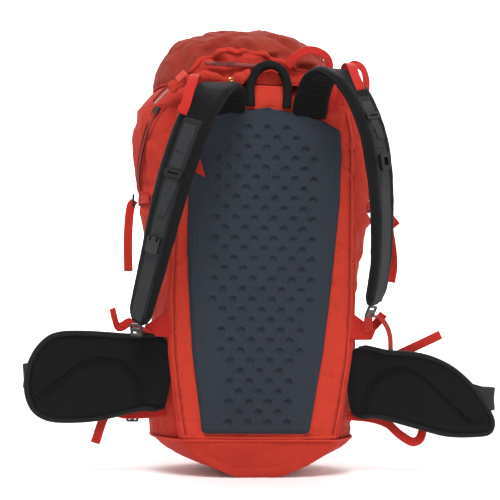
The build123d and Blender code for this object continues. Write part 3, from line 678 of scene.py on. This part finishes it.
def pad_piece():
    """Foam pad with a rolled lip and dimples, and the line round its edge."""
    zs = np.concatenate([np.linspace(73, 590, 330), np.linspace(591, 597.6, 8)])
    even = np.linspace(0, 1, 170)
    u = 0.5 - 0.5 * np.cos(math.pi * even) * (1 - 0.55) - 0.55 * (0.5 - even)
    z = np.repeat(zs[:, None], len(u), 1)
    left, right = edge(PAD_LEFT, z), edge(PAD_RIGHT, z)
    x = left + u * (right - left)
    top = 598 - 36 * np.clip(np.abs(x) / 124, 0, 1) ** 2.6
    d = np.minimum.reduce([x - left, right - x, z - 72.5, (top - z) * 0.8 + 3.5])
    d = np.clip(d, 0, None)
    lip = np.clip(d / 7.0, 0, 1)
    y = -8.0 * np.sqrt(1 - (1 - lip) ** 2)
    y += 0.5 * np.exp(-((d - 11.5) / 1.6) ** 2)
    y -= 0.9 * np.clip((d - 12) / 30, 0, 1)
    near = np.full(x.shape, 1e9)
    rel_z = np.zeros(x.shape)
    for sx, sz in spots:
        r = np.hypot(x - sx, (z - sz) * 0.96)
        closer = (abs(x - sx) < 14) & (abs(z - sz) < 14) & (r < near)
        near[closer] = r[closer]
        rel_z[closer] = (z - sz)[closer]
    upper = np.clip(0.5 + rel_z / 9.0, 0, 1)
    dip = np.clip(1 - (near / 7.0) ** 2.6, 0, 1) ** 0.7
    y += dip * (2.2 + 2.6 * upper)
    y -= 1.3 * np.exp(-((near - 8.4) / 1.5) ** 2) * (0.4 + 0.6 * upper)
    y -= 1.4 * np.exp(-(near / 2.6) ** 2)
    flat = np.stack([x / 1000, 0 * x, z / 1000], 2).reshape(-1, 3)
    y += wobble(flat, 1.0, 0.10, 61.0).reshape(y.shape) * np.clip(lip, 0, 1)
    y += wobble(flat, 0.4, 0.012, 63.0).reshape(y.shape) * lip
    y = np.minimum(y, 0.2)
    whole = np.array([[P(*p) for p in row] for row in np.stack([x, y, z], 2)])
    obj = mesh_object("back_pad_foam", whole.reshape(-1, 3), grid_faces(*whole.shape[:2]),
                      np.stack([x, z], 2).reshape(-1, 2) / 1000, "mesh")
    outline = np.concatenate([whole[:, 0], whole[-1, 1:], whole[::-1, -1], whole[0, ::-1]])
    return obj, outline


back_pad, pad_outline = pad_piece()
fit(back_pad, "pack", "back_mesh", "back_pad")
trim = tube("back_pad_trim", pad_outline[::2] + np.array([0, -0.0006, 0]), 1.6, "mesh")
fit(trim, "pack", "back_mesh")

lining = sheet_mesh("lining_wall", np.array(
    [[P(x * edge(BORDER_HALF, z) * 0.985, 16.2, z) for x in np.linspace(-1, 1, 20)]
     for z in np.linspace(61, 600, 40)]), "lining", 0.001)
fit(lining, "pack", "lining", "inner_wall")
sleeve = creased(np.array([[P(x, 19 + 7 * math.sin(math.pi * (x + 105) / 210) ** 0.5, z)
                            for x in np.linspace(-105, 105, 40)]
                           for z in np.linspace(110, 480, 50)]), 0.002, 71.0)
sleeve = sheet_mesh("water_sleeve", sleeve, "lining", 0.0008)
fit(sleeve, "pack", "lining", "hydration_sleeve")

# ---- shoulder straps
SHOULDER = {
    "left": [(-66, -3, 588), (-68, -23, 613), (-77, -44, 621), (-93, -70, 615), (-111, -91, 592),
             (-131, -104, 550), (-148, -108, 500), (-162, -106, 450), (-174, -98, 395),
             (-185, -84, 340), (-195, -66, 290), (-203, -47, 248)],
    "right": [(69, -3, 588), (71, -23, 620), (78, -42, 644), (92, -66, 650), (112, -90, 632),
              (132, -105, 595), (150, -111, 545), (161, -109, 490), (167, -104, 430),
              (170, -95, 370), (170, -79, 320), (167, -60, 284)],
}
LEAN = {"left": (0.0, -0.35, -0.95), "right": (0.0, 0.55, 0.85)}


def strap_lines(name, count=150):
    """A strap's middle line and its width directions."""
    turn = np.interp(np.linspace(0, 1, count), (0, 0.30, 1), LEAN[name])
    sides = np.stack([np.ones(count), turn, np.zeros(count)], 1)
    return spline(pts(SHOULDER[name]), count), sides


def strap_offset(name, first, last, out):
    """Stretch of a strap's middle line lifted off it by out millimetres, with its directions."""
    path, sides = strap_lines(name)
    _, _, face = frames(path, sides)
    face = face * np.where(face[:, 1:2] > 0, -1, 1)
    part = slice(int(first * (len(path) - 1)), int(last * (len(path) - 1)) + 1)
    return (path + face * out / 1000)[part], sides[part], face[part]


# each strap's pad, with its width turning from the pack's side to the strap's side, and its bound
# edges
for name in ("left", "right"):
    path, sides = strap_lines(name)
    share = np.linspace(0, 1, len(path))
    width = 57 - 17 * np.clip((share - 0.5) / 0.5, 0, 1) ** 1.2
    width *= 1 - 0.45 * np.clip((share - 0.955) / 0.045, 0, 1) ** 2
    thick = np.full(len(path), 1.0) - 0.35 * np.clip((0.06 - share) / 0.06, 0, 1)
    thick -= 0.4 * np.clip((share - 0.97) / 0.03, 0, 1)
    wrinkle = 0.22 * np.exp(-((share - 0.07) / 0.05) ** 2) * np.sin(share * 300)
    wrinkle += 0.035 * np.sin(share * 95 + 2) * np.clip(1 - abs(share - 0.2) / 0.2, 0, 1)
    section = round_section(0.056, 0.0135, 44, 3.4)
    section[:, 1] *= 1 + 0.20 * np.exp(-((np.abs(section[:, 0]) - 0.0205) / 0.006) ** 2)
    pad = sweep(f"strap_pad_{name}", path, sides, section, "pad",
                np.stack([width / 56, thick + wrinkle], 1))
    flat = np.array([v.co for v in pad.data.vertices])
    noisy = wobble(flat, 0.0009, 0.03, 80.0) + wobble(flat, 0.0004, 0.010, 83.0)
    normals = np.array([v.normal for v in pad.data.vertices])
    pad.data.vertices.foreach_set("co", (flat + normals * noisy[:, None]).ravel())
    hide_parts(f"shoulder_pad_{name}")
    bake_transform(pad)
    for edge_side, end in ((-1, "a"), (1, "b")):
        half = width / 2 * 0.985 * edge_side
        _, side, _ = frames(path, sides)
        line = path + side * half[:, None] / 1000
        piping = tube(f"strap_binding_{name}_{end}", line[2:-1], 1.7, "bind")
        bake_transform(piping)
    # webbing down the outer face over a dark mesh strip, and daisy loops between bar tacks;
    # the place of the third loop is left to the chest strap's clip, which slides there
    marks = np.linspace(0.40, 0.62, 5)
    layers = [("strap_mesh", 0.34, 0.97, 6.9, 0.030, 0.0012, "strip"),
              ("strap_web", 0.36, 0.99, 8.1, 0.022, 0.0014, "dark_web")]
    layers += [(f"daisy_loop_{k}", marks[k], marks[k + 1], 8.9, 0.018, 0.0013, "dark_web")
               for k in (0, 1, 3)]
    for label, first, last, lift, across, deep, mat in layers:
        kind, _, number = label.partition("loop_")
        line, line_sides, face = strap_offset(name, first, last, lift)
        if number:
            line = line + face * np.sin(np.linspace(0, math.pi, len(line)))[:, None] * 0.0009
        title = f"daisy_loop_{name}_{number}" if number else f"{kind}_{name}"
        layer = sweep(title, line, line_sides, flat_section(across, deep), mat)
        fit(layer, f"shoulder_{name}", "dark_web",
            *([f"shoulder_web_{name}"] if kind == "strap_web" else []))

LIFTER = {
    "left": [(-149, -104.5, 566), (-143, -102, 582), (-137, -94, 604), (-127, -70, 633),
             (-120, -32, 631), (-118, -4, 604)],
    "right": [(128, -112.5, 616), (121, -105, 637), (118, -84, 661), (118, -50, 664),
              (120, -26, 643), (120, -4, 608)],
}
LOWER = {
    "left": [(-184, 6, 232), (-189, -3, 236), (-195, -12, 240), (-201, -26, 241),
             (-204, -34, 240)],
    "right": [(178, 6, 236), (176, -4, 243), (171, -20, 258), (168, -34, 268), (167, -44, 270)],
}
for name, sign in (("left", -1), ("right", 1)):
    lifter = webbing(f"lifter_{name}", LIFTER[name], (1, 0, 0))
    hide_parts(f"load_lifter_{name}")
    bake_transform(lifter)
    lower = webbing(f"lower_strap_{name}", LOWER[name], (1, 0, 0.35 * sign))
    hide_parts(f"lower_web_{name}")
    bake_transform(lower)

# ---- haul loop
HAUL = [(-28.5, -7.5, 600.5), (-29, -7.5, 611), (-30, -7.5, 630), (-24.5, -7.5, 650),
        (-14, -7.5, 664), (2, -7.5, 669), (17, -7.5, 664), (27.5, -7.5, 650), (32, -7.5, 630),
        (31.5, -7.5, 611), (31, -7.5, 600.5)]
haul = sweep("haul_tube", spline(pts(HAUL), 90), (0, 1, 0),
             round_section(0.0125, 0.0150, 20, 2.2), "pad")
fit(haul, "haul_loop", "black_pad", "haul_loop")

# cloth standing between the haul loop's legs
stand = np.array([[P(x * (1 - 0.12 * r), 1.6 + 0.7 * math.sin(x * 0.16 + 2 * r), 605 + 32 * r)
                   for x in np.linspace(-33, 35, 30)] for r in np.linspace(0, 1, 16)])
fit(sheet_mesh("back_top_cloth", stand, "border", 0.0010, 0), "pack", "red_border")

# ---- lid
# height, left, right, back, front, corner radius
LID = np.array([
    (641, -178, 176, 3, 244, 80), (650, -180, 170, 2, 245, 82), (660, -179, 162, 3, 244, 82),
    (685, -174, 136, 6, 240, 88), (712, -156, 112, 14, 228, 86), (730, -129, 86, 30, 206, 74),
    (741, -96, 54, 52, 180, 54), (748, -50, 10, 88, 146, 28)], float)


def lid_ring(row, count=160):
    """Rounded outline of the lid at one level, in millimetres."""
    z, left, right, back, front, radius = row
    w, h = (right - left) / 2, (front - back) / 2
    a = turn_points(count)
    power = 2 + 1.6 * (1 - min(1, radius / min(w, h)))
    c, s = np.cos(a), np.sin(a)
    x = (left + right) / 2 + np.sign(c) * np.abs(c) ** (2 / power) * w
    y = (back + front) / 2 + np.sign(s) * np.abs(s) ** (2 / power) * h
    return np.stack([x, y, np.full(count, z)], 1)


lid_rings = np.array([lid_ring(row) for row in spline(LID, 60)])
tip = lid_rings[-1].mean(axis=0)
cap = np.array([tip + (lid_rings[-1] - tip) * k for k in (0.7, 0.4, 0.12)])
cap[..., 2] += np.array([1.0, 1.6, 1.8])[:, None]
lid_rings = np.concatenate([lid_rings, cap])
angles = turn_points(lid_rings.shape[1])
hem = np.clip(1 - np.arange(len(lid_rings)) / 22, 0, 1)[:, None]
pucker = np.sin(38 * angles + 2 * np.sin(3 * angles)) * 1.6 + np.sin(23 * angles) * 1.4
out = lid_rings - lid_rings.mean(axis=1, keepdims=True)
out[..., 2] = 0
out /= np.linalg.norm(out, axis=2)[..., None] + 1e-9
lid_rings = lid_rings - out * (np.abs(pucker)[None] * hem ** 1.5)[..., None]
lid_grid = np.array([[P(*p) for p in ring] for ring in lid_rings])
push = -np.abs(uneven(lid_grid, [(0.013, 0.10, 91.0)])) + uneven(
    lid_grid, [(0.005, 0.042, 95.0), (0.0016, 0.016, 99.0)],
    [(0.012, 0.075, 92.0), (0.005, 0.034, 94.0)])
mm = (lid_grid.reshape(-1, 3) - np.array(P(0, 0, 0))) * 1000
# folds: (start, end, depth, width)
for start, end, depth, width in [
        ((-70, 5, 664), (-102, 12, 690), 13, 9), ((-102, 12, 690), (-76, 20, 706), 12, 9),
        ((-150, 20, 668), (-160, 60, 722), 8, 16), ((-76, 20, 706), (-20, 40, 722), 8, 10),
        ((-20, 10, 692), (-48, 30, 708), 10, 8), ((30, 12, 690), (-10, 4, 676), 10, 8),
        ((70, 16, 700), (20, 40, 728), 8, 10), ((100, 20, 676), (60, 8, 668), 8, 9),
        ((-120, 4, 652), (-90, 4, 672), 9, 8), ((60, 100, 738), (-20, 120, 746), 7, 14),
        ((110, 120, 700), (60, 160, 734), 8, 14), ((-150, 120, 700), (-110, 150, 730), 8, 14)]:
    share, away = along_line(mm, np.array(start, float), np.array(end, float))
    away = away / width
    fold = -np.exp(-away**2) + 0.5 * np.exp(-((away - 1.6) / 0.7) ** 2)
    push += (depth / 1000 * fold * np.sin(np.pi * np.clip(share, 0.1, 0.9))).reshape(push.shape)
sag = out.copy()
sag[..., 2] = np.clip((lid_rings[..., 2] - 690) / 50, 0, 1.2)
sag /= np.linalg.norm(sag, axis=2)[..., None] + 1e-9
lid_grid = lid_grid + sag * (push * np.clip(np.arange(len(push)) / 10, 0.15, 1)[:, None])[..., None]
rows, cols = lid_grid.shape[:2]
heights = np.repeat(np.linspace(0, 0.3, rows)[:, None], cols, 1)
lid = ring_mesh("lid_top", lid_grid, 1.1, heights, "lid", 0.0012,
                tuple(range((rows - 1) * cols, rows * cols)))
fit(lid, "lid", "lid_cloth", "lid_shell")
fit(tube("lid_hem", closed(lid_grid[0]), 2.2, "panel"), "lid", "lid_cloth")

# brighter cloth gathered over the lid's lower back edge
GATHER = np.array([(-128, 652), (-118, 664), (-106, 680), (-88, 684), (-72, 692), (-58, 695),
                   (-46, 690), (-32, 694), (-12, 690), (8, 692), (26, 684), (44, 676),
                   (66, 668), (84, 660), (98, 650)], float)
rows = np.arange(60)
gather, facing = [], []
for j in range(80, 160):        # the columns across the lid's back
    x0 = lid_rings[5, j, 0]
    if not -126 < x0 < 96:
        continue
    top_row = np.interp(np.interp(x0, *GATHER.T), lid_rings[:60, j, 2], rows)
    at = np.linspace(0.5, top_row, 26)
    column = np.stack([np.interp(at, rows, lid_grid[:60, j, i]) for i in range(3)], 1)
    ripple = np.abs(np.sin(x0 * 0.21 + np.linspace(0, 2.2, 26))) * np.linspace(0, 1, 26)
    gather.append(column + out[5, j] * (0.0007 + 0.0010 * ripple)[:, None])
    facing.append(out[5, j])
gather = np.array(gather)
fit(sheet_mesh("lid_gather", gather, "panel", 0.0006, 0), "lid", "red_panel")
steps = np.arange(len(gather))
swell = 1 + 0.35 * np.sin(steps * 0.9) * np.sin(steps * 0.31)
roll = sweep("lid_gather_roll", gather[:, -1] + np.array(facing) * 0.0012, (0, 0.25, 1.0),
             round_section(0.0080, 0.0052, 16, 2.2), "panel", np.stack([swell, swell], 1))
fit(roll, "lid", "red_panel")

# cloth under the lid's pocket
inner = np.array([[P(*(tip * [1, 1, 0] + (p - tip) * [k, k, 0] + [0, 0, 659.5]))
                   for p in lid_rings[10]] for k in np.linspace(0.985, 0.02, 14)])
lid_floor = mesh_object("lid_under", inner.reshape(-1, 3), grid_faces(14, cols, True), None, "lid")
fit(lid_floor, "lid", "lid_cloth", "lid_floor")

# ---- hip belt
WING = {
    "left": [(-154, 219), (-220, 224), (-300, 227), (-335, 221), (-358, 198), (-370, 165),
             (-370, 132), (-358, 106), (-335, 93), (-295, 91), (-256, 95), (-190, 110), (-154, 112)],
    "right": [(154, 207), (215, 204), (273, 199), (318, 182), (356, 152), (382, 118), (395, 92),
              (391, 76), (374, 71), (318, 71), (264, 84), (200, 100), (154, 104)],
}
WING_Y = 7.5     # middle of the wings' thickness
D_SEAM = {
    "left": [(-372, 112), (-320, 152), (-284, 180), (-252, 186), (-224, 178), (-198, 150),
             (-190, 112)],
    "right": [(172, 106), (178, 140), (200, 168), (232, 176), (262, 166), (306, 130), (352, 90)],
}


def nearest(grid, line):
    """Distance from each point of a grid to the nearest point of a line."""
    return np.array([[np.min(np.linalg.norm(line - p, axis=1)) for p in row] for row in grid])


def wing_piece(name, side):
    """Padded wing, the line of its binding and the line of its D-shaped seam."""
    outline = np.array(WING[name], float)
    run = spline(np.concatenate([outline[-3:], outline, outline[:3]]), 600)
    lo = np.argmin(np.linalg.norm(run[:200] - outline[0], axis=1))
    hi = 400 + np.argmin(np.linalg.norm(run[400:] - outline[0], axis=1))
    loop = run[lo:hi]
    loop = loop[np.linspace(0, len(loop) - 1, 260).astype(int)][:-1]
    middle = np.array([side * 262.0, 148.0])
    seam = spline(np.array(D_SEAM[name], float), 200)
    rings, count = 46, len(loop)
    share = 1 - (1 - np.linspace(0.02, 1, rings)) ** 1.35
    xz = middle + (loop - middle)[None] * share[:, None, None]
    near_edge, near_seam = nearest(xz, loop), nearest(xz, seam)
    across, up = seam[np.argsort(seam[:, 0], kind="stable")].T
    inside = xz[..., 1] < np.interp(xz[..., 0], across, up)
    puff = np.sqrt(1 - (1 - np.clip((near_edge - 5) / 12, 0, 1)) ** 2)
    half = 2.4 + 3.2 * puff + 1.6 * np.clip(near_edge / 40, 0, 1)
    half += 2.0 * inside * np.clip(near_seam / 12, 0, 1)
    half *= 1 - 0.5 * np.exp(-(near_seam / 4.0) ** 2)
    half += 0.7 * np.exp(-((near_seam - 8) / 4) ** 2)
    flat = np.stack([xz[..., 0] / 1000, 0 * xz[..., 0], xz[..., 1] / 1000], 2).reshape(-1, 3)
    bumpy = (wobble(flat, 1.6, 0.055, 101.0) + wobble(flat, 0.6, 0.018, 103.0)).reshape(half.shape)
    front_y = WING_Y - half - bumpy * puff * 0.8
    rear_y = WING_Y + np.minimum(half, 6.4)
    verts = np.array([P(x, y, z) for face_y in (front_y, rear_y)
                      for (x, z), y in zip(xz.reshape(-1, 2), face_y.ravel())])
    faces = grid_faces(rings, count, True)
    faces += [f[::-1] for f in grid_faces(rings, count, True, rings * count)]
    faces += [tuple(range(count))[::-1], tuple(range(rings * count, (rings + 1) * count))]
    last, last2 = (rings - 1) * count, (2 * rings - 1) * count
    faces += [(last + i, last + (i + 1) % count, last2 + (i + 1) % count, last2 + i)
              for i in range(count)]
    if side > 0:
        faces = [f[::-1] for f in faces]
    obj = mesh_object(f"hip_pad_{name}", verts, faces, verts[:, [0, 2]], "pad")
    start = np.argmax(np.abs(loop[:, 0]) < 162)
    turned = np.roll(loop, -start - 1, axis=0)
    rim = np.array([P(x, WING_Y, z) for x, z in turned if abs(x) > 162])
    seam_line = []
    for x, z in seam[4:-4]:
        at = np.unravel_index(np.argmin(np.linalg.norm(xz - (x, z), axis=2)), half.shape)
        seam_line.append(P(x, front_y[at] - 0.1, z))
    return obj, rim, seam_line


for side, name in SIDES:
    wing, rim, seam_line = wing_piece(name, side)
    body = f"hip_{name}"
    fit(wing, body, "black_pad", f"hip_wing_{name}")
    bind = sweep(f"hip_binding_{name}", rim, (0, 1, 0),
                 round_section(0.0110, 0.0100, 16, 2.3), "bind",
                 np.clip((np.abs(rim[:, :1]) * 1000 - 160) / 14, 0.5, 1) * [1, 1], caps=False)
    fit(bind, body, "black_pad")
    fit(tube(f"hip_seam_{name}", seam_line, 0.9, "bind"), body, "black_pad")
    tip_z, tip_x = (158, 371) if side < 0 else (128, 396)
    y = WING_Y + 8.1
    run = [(side * 205, y, 152), (side * 300, y, 150), (side * (tip_x - 6), y, tip_z),
           (side * (tip_x + 6), y + 3, tip_z + 1), (side * (tip_x - 2), y + 7.5, tip_z + 2),
           (side * (tip_x - 42), y + 9, tip_z + 2)]
    belt = webbing(f"hip_belt_web_{name}", run, (0, 0, 1), 38, 1.6, "dark_web", 70)
    fit(belt, body, "dark_web", f"hip_web_{name}")

# ---- straps on the bag
def surface_x(z, y, out=0.0):
    line = side_arc(level_at(LEVELS, z), 200)
    share = np.interp(y, line[:, 1], np.linspace(0, math.pi, 200))
    return float(np.interp(y, line[:, 1], line[:, 0])) - pinch(z) * math.sin(share) + out


def sewn_straps(node_name, *straps):
    """Webbing sewn to the bag; together the straps stand for one CAD node."""
    for strap in straps:
        fit(strap, "pack", "red_web")
    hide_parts(node_name)


sewn_straps("side_straps", *(
    webbing(f"side_strap_{label}_{name}",
            [(side * surface_x(z, y, 2.2), y, z) for y in np.linspace(46, 168, 12)], (0, 0, 1))
    for side, name in SIDES for z, label in ((449, "upper"), (246, "lower"))))
x = surface_x(449, 92, 14.5)
sewn_straps(
    "upper_tails",
    webbing("upper_tail_left", [(5 - x, 100, 449), (-x, 97, 441), (-x - 3, 95, 420),
                                (-x - 4, 94, 380), (-x - 2, 93, 330)], (0.97, -0.24, 0), folded=7),
    webbing("upper_tail_right", [(x - 8, 100, 452), (x + 6, 97, 468), (x + 18, 92, 464),
                                 (x + 20, 86, 446), (x + 22, 81, 410), (x + 28, 78, 375),
                                 (x + 29, 77, 348), (x + 24, 76, 322)],
            [(0.3, -0.9, 0), (0.5, -0.8, 0.2), (0.6, -0.7, 0.1), (0.9, -0.4, 0), (0.8, -0.6, 0),
             (0.6, -0.8, 0), (0.7, -0.7, 0), (0.9, -0.4, 0)], folded=9),
    webbing("upper_tail_right_short", [(x + 8, 94, 456), (x + 20, 90, 440), (x + 36, 86, 420)],
            (-0.6, 0.2, -0.75), folded=9))
sewn_straps(
    "lower_tails",
    webbing("lower_tail_left", [(-172, 34, 226), (-196, 36, 234), (-212, 34, 246),
                                (-222, 30, 240), (-231, 26, 238), (-237, 22, 252), (-241, 20, 268)],
            (0.3, 0.5, 1)),
    webbing("lower_tail_right", [(176, 36, 250), (190, 34, 262), (203, 30, 262), (214, 27, 250),
                                 (221, 26, 232), (223, 26, 206)], (0.7, 0.7, 0.2)),
    webbing("lower_tip_right", [(190, 40, 240), (201, 37, 252), (212, 34, 268)], (0.8, 0, -0.6)),
    webbing("side_tail_right", [(222, 26, 194), (262, 24, 213), (308, 22, 235)], (-0.35, 0, 1),
            folded=12))
BASE_RUNS = {
    "left": [(-150, 22, 103), (-184, 22, 100), (-214, 22, 99), (-238, 22, 103), (-248, 21, 96),
             (-255, 20, 78), (-262, 18, 54)],
    "right": [(150, 22, 99), (190, 22, 95), (218, 22, 86), (240, 22, 68), (262, 20, 56),
              (274, 19, 62), (280, 19, 86)],
}
sewn_straps("base_straps", *(
    webbing(f"base_strap_{name}", run, (0, 0.15, 1), folded=6 if name == "left" else 0)
    for name, run in BASE_RUNS.items()))


def anchor(side, name):
    """Sewn triangle of border cloth with the webbing's end caught in it."""
    corners = [(side * 146, 272), (side * 146, 224), (side * 184, 225), (side * 190, 241)]
    grid = []
    for k in np.linspace(0, 1, 14):
        top = np.array(corners[0]) * (1 - k) + np.array(corners[3]) * k
        low = np.array(corners[1]) * (1 - k) + np.array(corners[2]) * k
        line = [top * (1 - t) + low * t for t in np.linspace(0, 1, 10)]
        grid.append([P(x, 3.5 + 1.2 * math.sin(5 * k + 3 * t), z)
                     for t, (x, z) in zip(np.linspace(0, 1, 10), line)])
    return sheet_mesh(f"anchor_{name}", np.array(grid), "web", 0.0018, 0)


tabs = [fit(anchor(side, name), "pack", "red_border") for side, name in SIDES]
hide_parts("anchor_tabs")

# ---- front and lid webbing
def front_y(x, z, out):
    line = front_arc(level_at(LEVELS, z), 200)
    return float(np.interp(x, line[::-1, 0], line[::-1, 1])) + out


sewn_straps("daisy_chain", webbing(
    "daisy_web", [(0, front_y(0, z, 2.0), z) for z in (92, 150, 220, 290, 360, 430)], (1, 0, 0)))
LID_STRAP = [(226, 722), (238, 712), (246, 690), (248.5, 660), (249, 620), (250, 570), (250, 528)]
for side, name in SIDES:
    run = [(side * 82, front_y(82, z, 3.0), z) for z in (110, 180, 260, 340, 410, 462)]
    front_strap = webbing(f"front_strap_{name}", run, (1, -side * 0.4, 0))
    fit(front_strap, "pack", "red_web")
    x = side * 82 - 5
    strap = webbing(f"lid_strap_{name}", [(x, y, z) for y, z in LID_STRAP], (1, 0, 0))
    fit(strap, "lid", "red_web")
    x = side * 108
    anchor_web = webbing(f"lid_anchor_{name}", [(x, -1.2, 596), (x, -1.8, 612), (x, -1.8, 626),
                                                (x * 0.97, -0.6, 646)], (1, 0, 0))
    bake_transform(anchor_web)
    if name == "left":
        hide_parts("front_straps")
        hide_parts("lid_straps")
        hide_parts("lid_anchors")


def standing_loop(name, run, middle):
    """Loose webbing standing in a loop; its width leans away from the loop's middle."""
    across = [(x - middle[0], 10, z - middle[1]) for x, _, z in run]
    return webbing(name, run, across)


fit(standing_loop("lifter_tail_loop", [(127, -10, 646), (129, -15, 664), (140, -17, 676),
                                       (154, -16, 671), (162, -12, 654), (163, -8, 634)],
                  (142, 650)), "pack", "red_web", "lifter_tail")
fit(standing_loop("lid_rear_loop", [(30, -1, 668), (44, -7, 686), (66, -10, 697), (88, -8, 693),
                                    (100, -5, 682), (103, -1, 660)], (70, 664)),
    "lid", "red_web", "lid_rear_tail")

# ---- small soft trim
BAND = [(-158, 2, 622), (-150, -5, 630), (-134, -8, 638), (-100, -9, 644), (-64, -9, 638),
        (-44, -8, 646), (-30, -4, 656)]
swell = 1 + 0.22 * np.sin(np.linspace(0, 17, 90)) + 0.12 * np.sin(np.linspace(0, 47, 90))
band = sweep("lid_rolled_band", spline(pts(BAND), 90), (0, 0, 1),
             round_section(0.016, 0.012, 24, 2.2), "panel", np.stack([swell, swell], 1))
fit(band, "pack", "red_panel")
ring = pts([(-63 + 3.4 * math.cos(a), -16.0, 640 + 2.6 * math.sin(a))
            for a in np.linspace(0, 2 * math.pi, 25)])
fit(tube("band_eyelet", ring, 0.9, "brass"), "pack", "zip_metal")
fit(webbing("haul_tab", [(-9, -7.5, 655.5), (3, -7.5, 660), (15, -7.5, 655.5)], (0, 1, 0), 11,
            2.0), "haul_loop", "red_web")
flag = np.array([[P(-116 + 17 * k, -10.5, 530 - 49 * k), P(-118 - 5 * k, -9.8, 522 - 30 * k)]
                 for k in np.linspace(0, 1, 12)])
fit(sheet_mesh("back_flag", flag, "web", 0.0014, 0), "pack", "red_web")

# ---- zips
ZIP = [(30, 598), (42, 560), (57, 510), (71, 462)]


def zip_run(shift, out):
    """Line beside the side zip on the left panel's surface."""
    return np.array([P(-surface_x(z, y + shift, out), y + shift, z)
                     for y, z in spline(np.array(ZIP, float), 60)])


fit(tube("side_zip_coil", zip_run(0, 1.6), 2.4, "zip"), "pack", "zip", "side_zip")
for k, shift in enumerate((-6.5, 6.5)):
    fit(tube(f"side_zip_edge_{k}", zip_run(shift, 1.2), 1.3, "seam"), "pack", "red_panel")
lid_zip = sweep("lid_zip_coil", pts([(x, 0.6, 668) for x in np.linspace(-104, 14, 30)]),
                (0, 0, 1), round_section(0.007, 0.0024, 12), "zip")
fit(lid_zip, "lid", "zip", "lid_zip")

# ---- cords of the side zip's pull
CORDS = {
    "a": [(-181, 24, 603), (-173, 14, 611), (-162, 1, 622), (-148, -9, 634)],
    "b": [(-184, 27, 606), (-177, 14, 615), (-165, 1, 626), (-151, -9, 638)],
}
for name, run in CORDS.items():
    curve = bpy.data.curves.new(f"pull_cord_{name}", "CURVE")
    curve.dimensions = "3D"
    curve.resolution_u = 16
    line = curve.splines.new("NURBS")
    line.points.add(len(run) - 1)
    for point, at in zip(line.points, run):
        point.co = (*P(*at), 1)
    line.order_u = 3
    line.use_endpoint_u = True
    curve.bevel_depth = 0.0015
    curve.bevel_resolution = 5
    curve.use_fill_caps = True
    strand = bpy.data.objects.new(f"pull_cord_{name}", curve)
    bpy.context.scene.collection.objects.link(strand)
    curve.materials.append(M["tracer" if name == "a" else "cord"])
    fit(strand, "side_slider", "cord", f"zip_cord_{name}")

# ---- hard pieces stay CAD
FINISH = {
    "plastic": ["web_locks", "shoulder_lock_left", "shoulder_lock_right", "sternum_clip_left",
                "hip_buckle_tongue", "hip_buckle_catch", "lid_buckle_catches",
                "lid_buckle_tongues"],
    "glossy": ["sternum_clip_right", "sternum_tongue", "sternum_catch"],
    "dark_web": ["sternum_web_left", "sternum_web_right"],
    "web": ["axe_loops"],
    "red_plastic": ["zip_grip"],
    "metal": ["side_zip_slider"],
    "plastic_zip": ["lid_zip_slider"],
    "alloy": ["frame_stays"],
    "sheet": ["frame_sheet"],
}
for finish, names in FINISH.items():
    for name in names:
        mesh = nodes[name].data
        if not mesh.materials:
            mesh.materials.append(M[finish])
        for k in range(len(mesh.materials)):
            mesh.materials[k] = M[finish]

# ---- stage, light and camera
def paper(name, corners, **values):
    """Plain sheet that is only there for the picture."""
    sheet = mesh_object(name, corners, [(0, 1, 2, 3)])
    made, _, _ = material(f"{name}_paper", Base_Color=(1, 1, 1, 1), **values)
    sheet.data.materials.append(made)
    return sheet


floor = paper("floor", [(-6, -6, 0), (6, -6, 0), (6, 6, 0), (-6, 6, 0)], Roughness=0.9)
floor.location.z = FLOOR - 0.0005
paper("backdrop", [(-9, 3.4, -1), (9, 3.4, -1), (9, 3.4, 8), (-9, 3.4, 8)],
      Emission_Color=(1, 1, 1, 1), Emission_Strength=0.7)

world = bpy.data.worlds.new("studio")
bpy.context.scene.world = world
world.use_nodes = True
sky = world.node_tree.nodes["Background"]
sky.inputs[0].default_value = (1, 1, 1, 1)
sky.inputs[1].default_value = 0.5

def area(name, at, to, size, power):
    lamp = bpy.data.lights.new(name, "AREA")
    lamp.size = size
    lamp.energy = power
    obj = bpy.data.objects.new(name, lamp)
    bpy.context.scene.collection.objects.link(obj)
    obj.location = at
    obj.rotation_euler = (Vector(to) - Vector(at)).to_track_quat("-Z", "Y").to_euler()


centre = P(0, 60, 380)
area("key", (-0.3, -1.5, 2.3), centre, 1.0, 52)
area("fill", (1.5, -1.6, 1.0), centre, 1.4, 8)
area("floor_wash", (0, 1.6, 2.2), (0, 2.2, 0), 1.6, 40)

AZ, EL, ROLL, DISTANCE, LENS = 9.0, -2.5, 1.3, 1.8, 80.0
target = P(-23, 0, 367)
camera = bpy.data.cameras.new("camera")
camera.lens = LENS
camera.sensor_width = 36
eye = bpy.data.objects.new("camera", camera)
bpy.context.scene.collection.objects.link(eye)
az, el = math.radians(AZ), math.radians(EL)
eye.location = target + Vector((-math.sin(az) * math.cos(el), -math.cos(az) * math.cos(el),
                                math.sin(el))) * DISTANCE
look = (target - eye.location).to_track_quat("-Z", "Y")
eye.rotation_euler = (look.to_matrix() @ Matrix.Rotation(math.radians(ROLL), 3, "Z")).to_euler()
bpy.context.scene.camera = eye
bpy.context.scene.view_settings.view_transform = "Standard"
